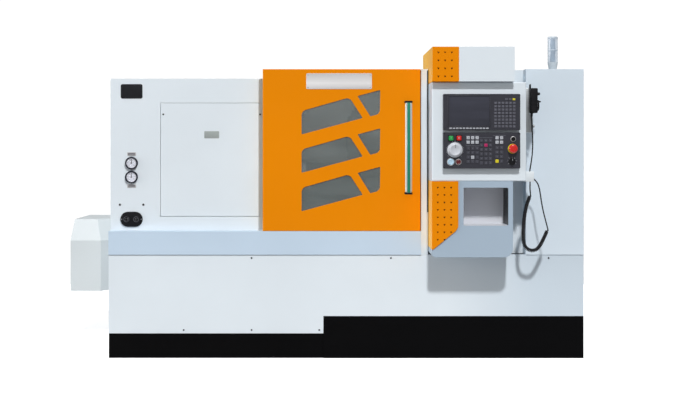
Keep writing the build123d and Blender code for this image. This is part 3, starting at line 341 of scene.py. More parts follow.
# The door plate's sheen is painted into its colour.
door_plate_painted_sheen = silver_with_painted_sheen("silver_door_plate_painted_sheen", tint(244, 242, 242), tint(188, 186, 186), 1.507, 1.595)
handle_tube = metal("anodised_handle_tube", tint(204, 212, 212), 0.36, (260, 260, 5), 0.04, 0.0006, 0.55)
tinted_glass = glass("tinted_window_glass", tint(114, 122, 121), 0.55)
screen_glass = glass("screen_glass", tint(52, 53, 64), 1.0, 0.12)
gauge_glass = glass("gauge_glass", tint(225, 228, 232), 0.12, 0.03)
black_plastic = plastic("black_grained_plastic", tint(15, 15, 18), 0.5, 0.15, 1500, 0.0, 0.2)
navy_plastic = plastic("navy_gauge_plastic", tint(24, 28, 42), 0.4, 0.1, 1500, 0.0, 0.3)
plate_black = plastic("black_plate_enamel", tint(20, 21, 26), 0.5, 0.1, 900, 0.0, 0.3)
plate_grey = plastic("grey_plate_enamel", tint(158, 165, 163), 0.5, 0.04, 900)
ring_grey = plastic("grey_socket_plastic", tint(92, 94, 100), 0.4)
unit_plastic = plastic("dark_panel_plastic", tint(44, 44, 53), 0.42)
white_keys = plastic("white_key_plastic", tint(180, 183, 190), 0.4, 0.04)
grey_keys = plastic("grey_key_plastic", tint(80, 80, 90), 0.45)
dark_keys = plastic("dark_key_plastic", tint(62, 62, 72), 0.45)
yellow_keys = plastic("yellow_key_plastic", tint(216, 200, 30), 0.4)
magenta_keys = plastic("magenta_key_plastic", tint(172, 30, 92), 0.4)
red_plastic = plastic("red_button_plastic", tint(206, 22, 12), 0.3, 0.06, 900, 0.4)
dark_red_plastic = plastic("dark_red_lens_plastic", tint(92, 8, 16), 0.28, 0.06, 900, 0.4)
green_plastic = plastic("green_button_plastic", tint(18, 150, 66), 0.3, 0.06, 900, 0.4)
pale_lens = plastic("pale_blue_lens_plastic", tint(176, 206, 226), 0.26, 0.06, 900, 0.4)
dial_plastic = plastic("pale_grey_dial_plastic", tint(196, 199, 206), 0.38, 0.05)
face_white = plastic("gauge_face_enamel", tint(226, 228, 238), 0.5, 0.03)
mark_white = plastic("white_key_print", tint(206, 208, 214), 0.6, 0.04)
mark_grey = plastic("grey_key_print", tint(126, 128, 138), 0.6, 0.04)
mark_black = plastic("black_dial_print", tint(30, 30, 34), 0.6)
strip_green = plastic("green_handle_strip", tint(26, 126, 100), 0.42, 0.05, 1500, 0.0, 0.3)
clip_white = plastic("white_clip_plastic", tint(226, 232, 236), 0.45, 0.03)
lamp_clear = glass("clear_lamp_plastic", tint(200, 216, 232), 0.5, 0.12)
lamp_core = plastic("lamp_core_plastic", tint(126, 146, 166), 0.35, 0.06, 900, 0.2)
lamp_grey = plastic("grey_lamp_plastic", tint(196, 206, 214), 0.35, 0.05, 900, 0.2)
# Pale liner colour inside the pendant's pocket: painted light.
pocket_painted_light = paint("pocket_painted_light_liner", tint(208, 210, 216), 0.5, 0.03, 0.3)
# Dark orange of the cones in the cheeks' pressings: painted shade.
dimple_shade = paint("dimple_painted_shade_orange", tint(84, 42, 4), 0.5, 0.1, 0.1)
cord_rubber = rubber("black_cord_rubber", tint(18, 18, 22))
gasket_rubber = rubber("dark_gasket_rubber", tint(34, 35, 38))

node_finishes = {
    lower_paint: ("lower_front_panel",),
    white_paint: ("left_cabinet_front", "access_cover", "left_end_panel", "bay_panel", "pendant_beam"),
    housing_paint: ("pendant_housing",), back_paint: ("back_panel",), end_paint: ("right_end_panel",),
    cabinet_paint: ("right_cabinet",), guard_paint: ("drive_guard",),
    roof_paint: ("roof_panels",), blue_paint: ("door_track",), box_paint: ("lower_box",),
    orange_paint: ("door_panel", "pendant_cheeks"), black_paint: ("left_plinth", "coolant_tank"),
    dark_casting: ("cast_bed",), grey_casting: ("headstock", "cross_slide", "tailstock"),
    chuck_steel: ("spindle", "chuck_body", "chuck_jaw_1", "chuck_jaw_2", "chuck_jaw_3"),
    turret_steel: ("turret",), ground_steel: ("carriage", "quill"),
    inner_steel: ("inner_guards",), unit_plastic: ("display_unit", "operator_panel"),
    black_plastic: ("upper_needle", "lower_needle"),
}
# Nodes that a piece below stands for stay as they come: they never show
for finish, names in node_finishes.items():
    for name in names:
        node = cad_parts[name]
        node.data.materials.clear()
        node.data.materials.append(finish)


# Handset cord: plain lead, curly stretch, plain lead into the gland

upper_lead = ((1006, -168, 1348), (1008, -168, 1292), (1011.5, -166.5, 1224), (1011.5, -161, 1157),
              (1006.5, -151, 1100), (1001, -142, 1060), (1000, -137, 1036), (1008, -137, 1018), (1027, -138, 1006),
              (1046, -139, 983), (1056, -140, 944), (1063, -141, 889), (1074.5, -142, 829), (1088, -143, 776),
              (1099, -143, 735))
coil = ((1099, -143, 735), (1079, -143, 691), (1058.5, -143, 648), (1037, -143, 621.5), (1005.5, -143, 616),
        (977, -143, 632.5), (965, -143, 664), (963, -143, 715), (967, -143, 778), (976, -143, 839.5),
        (988.5, -143, 886), (1004.5, -143, 923))
lower_lead = ((1004.5, -143, 923), (1002, -140, 949), (1003, -134, 975), (1005, -128, 1000), (1001, -125, 1019),
              (982, -125, 1026))
cord_turns = 62
turn_points = 12
turn_radius = 0.0074
lead_points, lead_stretch = 10, 2.5
flare_points = 8


def cord_curve(name, points, thickness=0.0):
    """Open smooth spline with the points as its control points."""
    curve = bpy.data.curves.new(name, "CURVE")
    curve.dimensions = "3D"
    curve.resolution_u = 4 if thickness else 24
    curve.bevel_depth = thickness / 2
    curve.bevel_resolution = 3
    curve.use_fill_caps = True
    spline = curve.splines.new("NURBS")
    spline.points.add(len(points) - 1)
    for point, place in zip(spline.points, points):
        point.co = (*place, 1)
    spline.order_u = 3
    spline.use_endpoint_u = True
    return curve


def read_line(points):
    """Points along the smooth spline through a route."""
    holder = bpy.data.objects.new("route", cord_curve("route", points))
    mesh = bpy.data.meshes.new_from_object(holder)
    line = [vertex.co.copy() for vertex in mesh.vertices]
    bpy.data.objects.remove(holder)
    bpy.data.meshes.remove(mesh)
    return line


def along(line, share):
    """Place and direction at a share of a line's length."""
    lengths = [(b - a).length for a, b in zip(line, line[1:])]
    left = share * sum(lengths)
    for index, length in enumerate(lengths):
        if left <= length or index == len(lengths) - 1:
            step = line[index + 1] - line[index]
            return line[index] + step * min(1, left / length), step.normalized()
        left -= length


def make_cord():
    """One wire: the turns wind about the curly stretch, drawn out at both ends to meet the plain leads."""
    line = read_line([at(*point) for point in coil])
    points = [at(*point) for point in upper_lead[:-1]]
    count = cord_turns * turn_points
    side = Vector((0, 1, 0))
    steps = [1 + lead_stretch * max(0, 1 - index / lead_points, 1 - (count - index) / lead_points)
             for index in range(count + 1)]
    for index in range(count + 1):
        place, way = along(line, sum(steps[:index]) / sum(steps[:-1]))
        up = way.cross(side).normalized()
        turn = 2 * pi * index / turn_points
        reach = turn_radius * min(1, (index + 1) / flare_points, (count - index + 1) / flare_points)
        points.append(place + reach * (cos(turn) * side + sin(turn) * up))
    points += [at(*point) for point in lower_lead[1:]]
    curve = cord_curve("handset_cord", points, 0.007)
    curve.materials.append(cord_rubber)
    cord = bpy.data.objects.new("handset_cord", curve)
    scene.collection.objects.link(cord)
    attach(cord, "machine")
    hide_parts("cord_upper_lead", "cord_coil", "cord_lower_lead")


make_cord()

# Shapes, in millimetres

sides = (-1, 1)
smooth_below = radians(40)


def bevel(shape, geom, offset, segments, affect="EDGES", clamp=True):
    bmesh.ops.bevel(shape, geom=geom, offset=offset, affect=affect, segments=segments, profile=0.5, material=-1,
                    clamp_overlap=clamp)


def moved(shape, matrix):
    bmesh.ops.transform(shape, matrix=matrix, verts=shape.verts[:])
    return shape


def block(x0, x1, y0, y1, z0, z1, edge=1.0, steps=2):
    """Box with rounded edges."""
    shape = bmesh.new()
    bmesh.ops.create_cube(shape, size=1)
    bmesh.ops.scale(shape, vec=(x1 - x0, y1 - y0, z1 - z0), verts=shape.verts)
    bmesh.ops.translate(shape, vec=((x0 + x1) / 2, (y0 + y1) / 2, (z0 + z1) / 2), verts=shape.verts)
    bevel(shape, shape.edges[:], edge, steps)
    return shape


def blocks(edge, steps, *limits):
    """Boxes with the same rounding, each from its six limits."""
    return [block(*six, edge, steps) for six in limits]


def raised(front, x, z, half, low, high, bottom, top, edge=1.0, steps=2):
    """Bar on an upright face, from low to high proud of it and from bottom to top about z."""
    return block(x - half, x + half, front - high, front - low, z + bottom, z + top, edge, steps)


def bar_frame(front, x, z, out_x, out_z, long_x, long_z, half, low, high, edge, steps=2):
    """Two level and two upright bars about a place on an upright face."""
    level = [raised(front, x, z + side * out_z, long_x, low, high, -half, half, edge, steps) for side in sides]
    return level + [raised(front, x + side * out_x, z, half, low, high, -long_z, long_z, edge, steps)
                    for side in sides]


def thicken(shape, depth):
    """Gives an upright sheet its thickness, to the back."""
    made = bmesh.ops.extrude_face_region(shape, geom=shape.faces[:])["geom"]
    corners = [item for item in made if isinstance(item, bmesh.types.BMVert)]
    bmesh.ops.translate(shape, vec=(0, depth, 0), verts=corners)


def plate(x, z, width, height, back, front, corner=4.0, edge=0.8):
    """Upright plate with round corners and a softened front rim."""
    shape = bmesh.new()
    shape.faces.new([shape.verts.new((x + sx * width / 2, front, z + sz * height / 2))
                     for sx, sz in ((-1, -1), (1, -1), (1, 1), (-1, 1))])
    bevel(shape, shape.verts[:], corner, 5, "VERTICES")
    thicken(shape, back - front)
    bevel(shape, [e for e in shape.edges if all(abs(v.co.y - front) < 0.001 for v in e.verts)], edge, 2)
    bmesh.ops.recalc_face_normals(shape, faces=shape.faces[:])
    return shape


def spun(profile, x, y, z, axis="Y", steps=36):
    """Turned shape from radius and height pairs; heights run to the front, to the right or up."""
    shape = bmesh.new()
    corners = [shape.verts.new((radius, 0, height)) for radius, height in profile]
    edges = [shape.edges.new(pair) for pair in zip(corners, corners[1:])]
    bmesh.ops.spin(shape, geom=corners + edges, cent=(0, 0, 0), axis=(0, 0, 1), angle=2 * pi, steps=steps,
                   use_merge=True, use_duplicate=False)
    bmesh.ops.remove_doubles(shape, verts=shape.verts[:], dist=0.001)
    bmesh.ops.recalc_face_normals(shape, faces=shape.faces[:])
    turn = {"Y": Matrix.Rotation(pi / 2, 4, "X"), "X": Matrix.Rotation(pi / 2, 4, "Y"), "Z": Matrix()}[axis]
    return moved(shape, Matrix.Translation((x, y, z)) @ turn)


def turned_about(shape, degrees, x, y, z, axis="Y"):
    """The same shape turned about an axis through a place."""
    middle = Matrix.Translation((x, y, z))
    return moved(shape, middle @ Matrix.Rotation(radians(degrees), 4, axis) @ middle.inverted())


def around(turns, make, x, y, z, axis="Y"):
    """Copies of a shape, each turned by its own degrees about an axis through a place."""
    return [turned_about(make(), degrees, x, y, z, axis) for degrees in turns]


def lettering(text, x, z, height, front):
    """Flat printed mark facing the front."""
    curve = bpy.data.curves.new("mark", "FONT")
    curve.body = text
    curve.size = height
    curve.align_x = "CENTER"
    curve.align_y = "CENTER"
    curve.resolution_u = 2
    holder = bpy.data.objects.new("mark", curve)
    mesh = bpy.data.meshes.new_from_object(holder)
    shape = bmesh.new()
    shape.from_mesh(mesh)
    bpy.data.objects.remove(holder)
    bpy.data.meshes.remove(mesh)
    return moved(shape, Matrix.Translation((x, front, z)) @ Matrix.Rotation(pi / 2, 4, "X"))


def make_piece(name, shapes, body="machine", replaces=()):
    """One object from lists of shapes by their finish."""
    whole = bmesh.new()
    mesh = bpy.data.meshes.new(name)
    for index, (finish, group) in enumerate(shapes.items()):
        mesh.materials.append(finish)
        for shape in group:
            for face in shape.faces:
                face.material_index = index
                face.smooth = True
            part = bpy.data.meshes.new("part")
            shape.to_mesh(part)
            shape.free()
            whole.from_mesh(part)
            bpy.data.meshes.remove(part)
    moved(whole, to_frame).to_mesh(mesh)
    whole.free()
    mesh.set_sharp_from_angle(angle=smooth_below)
    piece = bpy.data.objects.new(name, mesh)
    scene.collection.objects.link(piece)
    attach(piece, body)
    if replaces:
        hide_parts(*replaces)


# Fittings of the left cabinet

body_length = 2660
column_x = -1211
cabinet_front = 50
label_heights = (1142.7, 961.7)
bolt_z, bolt_reach = 856.7, 66
gauge_sweep = 130


def screw(x, front, z, radius, head=3.0):
    """Button-headed screw with a round socket."""
    profile = [(0, 0), (radius, 0), (radius, 0.3 * head), (0.9 * radius, 0.7 * head), (0.6 * radius, head),
               (0.45 * radius, head), (0.4 * radius, 0.4 * head), (0, 0.4 * head)]
    return spun(profile, x, front, z, "Y", 18)


def rivet(x, front, z):
    return spun([(0, 0), (2.6, 0), (2.2, 0.6), (1.2, 1), (0, 1.1)], x, front, z, "Y", 14)


def make_screws():
    """Screws of the lower panel in two rows and of the access cover, and two bolts on washers."""
    rows = ((158, (-0.342, -0.199, -0.0566)), (561, (-0.199, 0.0942, 0.4263)))
    dark = [screw(share * body_length, 0, z, 5) for z, shares in rows for share in shares]
    dark += [screw(x, cabinet_front, 1367, 5) for x in (-1032, -485)]
    places = [(column_x + side * bolt_reach, cabinet_front, bolt_z) for side in sides]
    bolts = [screw(*place, 6) for place in places]
    washers = [spun([(0, 0), (7, 0), (7, 0.8), (6.4, 1.2), (0, 1.2)], *place) for place in places]
    make_piece("panel_screws_detailed", {dark_screw: dark + bolts, bright_screw: washers},
               replaces=["panel_screws"])


def make_gauge(name, z):
    """Gauge with a rolled ring, a printed face and a clear front."""
    place = (column_x, cabinet_front, z)
    ring = [(0, 0), (36, 0), (36, 9), (35.2, 11.6), (33.4, 12.9), (29.4, 12.7), (28, 11.2), (27.6, 8),
            (27.2, 7.9), (0, 7.9)]
    face = [(27.4, 7.9), (27.4, 8.15), (0, 8.15)]
    clear = [(28.2, 11), (22, 11.6), (12, 12.2), (0, 12.4)]
    notch = raised(cabinet_front, column_x, z, 3, 8, 12.6, 34, 37, 0.8)
    marks = []
    for step in range(51):
        half, low = (0.25, 23) if step % 10 else (0.5, 21)
        bar = raised(cabinet_front, column_x, z, half, 8.1, 8.3, low, 26, 0.02, 1)
        marks.append(turned_about(bar, -gauge_sweep + 2 * gauge_sweep * step / 50, column_x, 0, z))
    for step in range(6):
        turn = radians(-gauge_sweep + 2 * gauge_sweep * step / 5)
        marks.append(lettering(str(step * 2), column_x + 16 * sin(turn), z + 16 * cos(turn), 6, cabinet_front - 8.3))
    make_piece(name, {navy_plastic: [spun(ring, *place), notch], face_white: [spun(face, *place)], mark_black: marks,
                      gauge_glass: [spun(clear, *place)]}, replaces=["gauge_cases"])


def make_cabinet_plates():
    dark_z, small_x, small_z = 1497, -758.5, 1252
    dark = plate(column_x, dark_z, 123, 82, cabinet_front, cabinet_front - 1.4, 10, 0.5)
    rim = bar_frame(cabinet_front, column_x, dark_z, 54, 33, 54, 33, 0.8, 1.2, 1.8, 0.2, 1)
    rivets = [rivet(column_x + sx * 49, cabinet_front - 1.3, dark_z + sz * 28) for sx in sides for sz in sides]
    small = [plate(small_x, small_z, 84, 40, cabinet_front, cabinet_front - 1.2, 3, 0.4)]
    small += [rivet(small_x + side * 38, cabinet_front - 1.1, small_z) for side in sides]
    labels = [plate(column_x, z, 49, 20, cabinet_front, cabinet_front - 1.2, 2.5, 0.4) for z in label_heights]
    bars = [raised(cabinet_front, column_x, z + rise, 20, 1.1, 1.5, -2, 2, 0.15, 1)
            for z in label_heights for rise in (-4, 4)]
    make_piece("cabinet_plates", {plate_black: [dark] + rim + rivets, plate_grey: small, satin_plate: labels,
                                  grey_keys: bars}, replaces=["blank_plates"])


def make_sockets():
    z = 774.7
    socket = [(20, 6), (20, 8), (18.6, 8.6), (17, 8.6), (17, 13), (16.2, 14), (13.8, 14), (13, 13.2), (13, 3.2),
              (0, 3.2)]
    ring = [(12.9, 9), (12.9, 14.2), (14, 14.5), (15.4, 14.2), (15.4, 13.4)]
    pin = [(1.4, 3.2), (1.4, 9.4), (0.8, 10.4), (0, 10.6)]
    shell = [plate(column_x, z, 126, 85, cabinet_front, cabinet_front - 6, 42.4, 1.8)]
    pins, rings = [], []
    for side in sides:
        x = column_x + side * 27.5
        shell.append(spun(socket, x, cabinet_front, z))
        rings.append(spun(ring, x, cabinet_front, z))
        pins += [spun(pin, x + 6 * cos(turn), cabinet_front, z + 6 * sin(turn), "Y", 12)
                 for turn in (radians(45 + 90 * step) for step in range(4))]
    screws = [screw(column_x + side * 55.5, cabinet_front - 6, z, 3.6, 2) for side in sides]
    make_piece("foot_switch_sockets", {black_plastic: shell, satin_plate: pins, bright_screw: screws,
                                       ring_grey: rings}, replaces=["socket_plate"])


make_screws()
make_gauge("upper_gauge", 1091.7)
make_gauge("lower_gauge", 1012.7)
make_cabinet_plates()
make_sockets()


# Door fittings

door_front = -6


def make_door_fittings():
    plate_x, plate_z = -39.5, 1551
    silver = plate(plate_x, plate_z, 367, 88, door_front, door_front - 1.6, 6, 0.6)
    rivets = [rivet(plate_x + sx * 174, door_front - 1.5, plate_z + sz * 35) for sx in sides for sz in sides]
    make_piece("blank_door_plate", {door_plate_painted_sheen: [silver], bright_screw: rivets}, "door",
               ["door_plate"])
    x, front, low, high = 346, door_front - 60, 930, 1429
    tube = [block(x - 19, x + 19, front, front + 28, low, high, 8, 4)]
    strip = [block(x - 8, x + 8, front - 1.6, front + 4, low, high, 1.5)]
    lips = [block(x + side * 9.5 - 1, x + side * 9.5 + 1, front - 1, front + 4, low, high, 0.6, 1) for side in sides]
    ends = [block(x - 21, x + 21, front - 2, door_front, z, z + 11, 3, 3) for z in (low - 10, high - 1)]
    make_piece("door_handle_tube", {handle_tube: tube + lips, strip_green: strip, black_plastic: ends},
               "door", ["door_handle"])


def pane(points, radii):
    """Sheet of glass with its own radius at each corner, set just behind the door's face."""
    shape = bmesh.new()
    shape.faces.new([shape.verts.new((x, door_front + 3, z)) for x, z in points])
    for index, radius in enumerate(radii):
        x, z = points[index]
        ways = [(Vector(points[other]) - Vector((x, z))) for other in (index - 1, (index + 1) % len(points))]
        reach = radius / tan(ways[0].angle(ways[1]) / 2)
        corner = min(shape.verts, key=lambda vertex: abs(vertex.co.x - x) + abs(vertex.co.z - z))
        bevel(shape, [corner], reach, 6, "VERTICES", False)
    thicken(shape, 4)
    bmesh.ops.recalc_face_normals(shape, faces=shape.faces[:])
    return shape


def make_door_panes():
    """Six slanted panes in three rows, and dark rubbers where the door closes on its post, which also stand as painted
    shade in those gaps.
    """
    left, bottom, width, height, row_pitch = -467, 712, 883, 907, 0.237
    left_pane = ((0.2469, 0.5965), (0.6342, 0.6979), (0.5504, 0.8247), (0.2469, 0.7409))
    right_pane = ((0.6818, 0.7078), (0.7429, 0.7233), (0.7452, 0.871), (0.6014, 0.8335))
    panes = []
    for row in range(3):
        for shares, radii in ((left_pane, (4, 4, 31, 31)), (right_pane, (4, 31, 4, 4))):
            panes.append(pane([(left + width * across, bottom + height * (up - row_pitch * row))
                               for across, up in shares], radii))
    make_piece("door_panes", {tinted_glass: panes}, "door", ["door_glass"])
    low, post_low, high = 716, 818, 1612
    # Rubber seals beside the door's edge and the post, dark also as painted shade in the gaps.
    edge = blocks(1, 2, (416, 419.4, door_front + 2, door_front + 26, low, high),
                  (414, 417, door_front + 20, door_front + 34, low, high))
    make_piece("door_edge_rubber_shade", {gasket_rubber: edge}, "door")
    seal = [block(453.5, 460.8, -3, 6, post_low, high, 1.5), block(456, 460.8, 4, 20, post_low, high)]
    make_piece("post_rubber_shade", {gasket_rubber: seal})


make_door_fittings()
make_door_panes()


# Pendant fittings

unit_front = -218
key_rise = 3
key_print = unit_front - key_rise - 0.08
dimple_columns = (492.6, 528.8, 565)


def make_pocket_light_and_shade():
    """Liner painted pale on the pocket's back, left, floor and top as painted light, and a dark sheet on the right side
    as painted shade.
    """
    left, right, low, high, front, back = 632, 875, 757, 963, -187, -40
    painted_light_walls = blocks(0.4, 1, (left, right, back - 1.5, back, low, high),
                   (left + 0.2, left + 1.4, front, back, low + 1, high - 1),
                   (left, right, front, back, low + 0.2, low + 1.4),
                   (left, right, front, back, high - 1.4, high - 0.2))
    # Dark sheet on the right wall: painted shade.
    side = [block(right - 1.6, right - 0.2, front, back - 1, low + 1, high - 1, 0.4, 1)]
    make_piece("pocket_painted_light_and_shade", {pocket_painted_light: painted_light_walls, gasket_rubber: side})


def make_dimple_shade():
    """Dark cones set in the pressings of the two orange cheeks: painted shade."""
    places = [(x, -225, 1692 - 43 * row) for row in range(4) for x in dimple_columns]
    places += [(x, -195, 964 - 40.3 * row) for row in range(8) for x in dimple_columns if x < 540 or row < 7]
    shapes = []
    for x, front, z in places:
        shape = bmesh.new()
        bmesh.ops.create_cone(shape, cap_ends=True, segments=3, radius1=7.3, radius2=4, depth=2.6)
        turn = Matrix.Rotation(pi / 2, 4, "X") @ Matrix.Rotation(-pi / 2, 4, "Z")
        moved(shape, Matrix.Translation((x, front + 1.6, z)) @ turn)
        bevel(shape, shape.edges[:], 0.4, 1)
        shapes.append(shape)
    make_piece("cheek_dimple_painted_shade", {dimple_shade: shapes})


def key_grid(x, z, columns, rows, pitch_x, pitch_z):
    """Places of a block of keys, row by row from the top left."""
    return [(x + (column - (columns - 1) / 2) * pitch_x, z + ((rows - 1) / 2 - row) * pitch_z)
            for row in range(rows) for column in range(columns)]


def caps(places, width, height):
    return [plate(x, z, width, height, unit_front, unit_front - key_rise, 1.6, 0.7) for x, z in places]


def prints(places, words, height):
    return [lettering(word, x, z, height, key_print) for (x, z), word in zip(places, words)]


def unit_screws(columns, rows):
    return [screw(x, unit_front, z, 3, 1.4) for x in columns for z in rows]


def make_display():
    x, z = 658, 1377.5
    glass_front = plate(x, z, 221, 160, unit_front + 3, unit_front + 2, 4, 0.4)
    bezel = bar_frame(unit_front, x, z, 113.5, 83, 115, 85.5, 2.5, -1, 1.2, 1)
    make_piece("display_screen", {screen_glass: [glass_front], unit_plastic: bezel,
                                  dark_screw: unit_screws((527, 927), (1280, 1462))})
    letters = key_grid(851, 1357, 6, 8, 20, 18)
    resets = key_grid(880, 1440, 3, 1, 20, 18)
    softs = key_grid(x, 1284, 12, 1, 18, 18)
    words = "OPQ789NGR456XYZ123UWVM0-FHEITKJSLD+*ABC=/<>^v[]#"
    make_piece("display_keys", {grey_keys: caps(letters, 15, 13) + caps(resets[:2], 14, 10),
                                yellow_keys: caps(resets[2:], 14, 10), white_keys: caps(softs, 13, 7),
                                mark_grey: prints(letters, words, 8.5), mark_black: prints(softs, "<ABCDEFGHIJ>", 5)},
               replaces=["panel_keys"])


def make_operator_keys():
    pitch, size = (24, 24), (17, 17)
    left_x, middle_x, right_x, top_z = 677.5, 749, 821, 1221
    white = key_grid(left_x, top_z, 3, 2, *pitch) + key_grid(right_x, top_z, 2, 2, *pitch)
    left = key_grid(left_x, 1140, 3, 4, *pitch)
    middle = key_grid(middle_x, 1157, 3, 6, *pitch)
    right = key_grid(right_x, 1143, 2, 4, *pitch)
    white.append(left.pop(7))
    magenta = [middle.pop(4)]
    yellow = [right.pop(6)]
    dark = left + middle + right
    signs = "I II III < > ^ + - = / o F1 F2 F3 F4 F5 F6 M S T +X -X +Z -Z C ~ % 10 25 50 100 1 0 L R".split()
    keys = {finish: caps(places, *size) for finish, places in ((white_keys, white), (dark_keys, dark),
                                                                (magenta_keys, magenta), (yellow_keys, yellow))}
    make_piece("operator_keys", {**keys, mark_black: prints(white, "XYZ+-01234A", 9),
                                 mark_grey: prints(dark, signs, 7)})
    lines = [block(x0, x1, unit_front - 0.3, unit_front + 0.2, z - 0.5, z + 0.5, 0.1, 1)
             for x0, x1, z in ((640, 715, 1246), (786, 856, 1246), (712, 786, 1233), (640, 715, 1190))]
    make_piece("operator_panel_prints", {mark_grey: lines, dark_screw: unit_screws((526, 928), (1074, 1255))})


def make_push_buttons():
    z = 1231
    for name, x, finish, word in (("start", 561, green_plastic, "I"), ("stop", 604, red_plastic, "O")):
        cap = plate(x, z, 25, 25, unit_front + 8, unit_front - 9, 4, 2.4)
        make_piece(name + "_push_cap", {finish: [cap], mark_white: [lettering(word, x, z, 12, unit_front - 9.06)]},
                   name + "_button", [name + "_button"])
        bars = bar_frame(unit_front, x, z, 14.6, 14.6, 15.6, 15.6, 1, 0, 3, 0.6)
        make_piece(name + "_push_frame", {black_plastic: bars})
    z = 1103
    for name, x, radius, finish, slot in (("cycle", 560, 17, pale_lens, "key_plastic"),
                                          ("hold", 601, 13, dark_red_plastic, "red_plastic")):
        cap = spun([(0, -8), (radius, -8), (radius, 6), (radius - 1, 8), (radius - 3.5, 9), (radius - 5, 8.2),
                    (0, 7.8)], x, unit_front, z)
        make_piece(name + "_push_cap", {finish: [cap]}, name + "_button", [name + "_button"])
        ring = spun([(radius + 0.7, 0), (radius + 0.7, 3.4), (radius + 2, 4), (radius + 3.2, 3.2),
                     (radius + 3.6, 0)], x, unit_front, z)
        make_piece(name + "_push_ring", {satin_plate: [ring]})


def make_feed_dial():
    x, z = 582, 1167
    skirt = [(0, 0.4), (41, 0.4), (41, 3), (40, 5.4), (36, 7), (33, 7.4), (32.6, 9)]
    drum = [(32.6, 7.4), (32.4, 18), (31.4, 22), (28.6, 24), (26, 24.2), (24, 22.8), (0, 22.6)]
    shapes = [spun(profile, x, unit_front, z, "Y", 60) for profile in (skirt, drum)]
    shapes += around(range(0, 360, 9), lambda: raised(unit_front, x, z, 1, 9, 19, 31.4, 33, 0.5, 1), x, 0, z)
    pointer = raised(unit_front, x, z, 0.9, 22, 24.3, 10, 30, 0.2, 1)
    make_piece("feed_dial_knob", {dial_plastic: shapes, mark_black: [pointer]}, "feed_dial",
               ["feed_dial"])
    marks = [turned_about(raised(unit_front, x, z, 0.4, -0.2, 0.3, 42.2, 46 if step % 3 else 48, 0.1, 1),
                          -135 + 10 * step, x, 0, z) for step in range(28)]
    make_piece("feed_dial_scale", {mark_white: marks})


def make_knobs():
    x, z = 890, 1105
    base = spun([(0, 0.4), (19, 0.4), (18.6, 4), (16.5, 6), (14, 6.4), (0, 6.4)], x, unit_front, z)
    grip = raised(unit_front, x, z, 4, 5, 16, -17, 17, 2.4, 3)
    line = raised(unit_front, x, z, 0.7, 15, 16.2, 4, 16, 0.2, 1)
    make_piece("mode_knob_grip", {black_plastic: [base, grip], mark_white: [line]}, "mode_knob",
               ["mode_knob"])
    marks = around(range(-120, 121, 40), lambda: raised(unit_front, x, z, 0.5, -0.2, 0.3, 21, 26, 0.1, 1), x, 0, z)
    make_piece("mode_knob_scale", {mark_white: marks})
    x, z = 896, 1226
    barrel = spun([(0, 0.4), (11, 0.4), (11, 5), (10, 6), (6.4, 6), (6, 5), (0, 5)], x, unit_front, z)
    grip = raised(unit_front, x, z, 2.5, 4.6, 12, -9.5, 9.5, 1.2)
    make_piece("lock_switch_grip", {black_plastic: [barrel, grip]}, "lock_switch", ["lock_switch"])
    ring = spun([(11.4, 0), (11.4, 2.6), (12.4, 3), (14, 2.4), (14.6, 0)], x, unit_front, z)
    make_piece("lock_switch_ring", {satin_plate: [ring]})
    x, z = 893, 1174
    head = [(0, 0.5), (5.5, 0.5), (5.5, 7), (10, 7.2), (10, 13), (12, 14), (23, 14.2), (24, 15.6), (24, 20),
            (22.6, 25), (19, 28.4), (13, 29.6), (6, 30), (0, 30)]
    make_piece("stop_mushroom", {red_plastic: [spun(head, x, unit_front, z, "Y", 48)]}, "estop_button",
               ["estop_button"])
    collar = [(10.6, 0), (26, 0), (26, 4.6), (25, 6), (22, 6), (12, 5), (10.6, 4)]
    make_piece("stop_collar", {yellow_keys: [spun(collar, x, unit_front, z, "Y", 48)]})


make_pocket_light_and_shade()
make_dimple_shade()
make_display()
make_operator_keys()
make_push_buttons()
make_feed_dial()
make_knobs()


# Handset, its holder and the signal tower

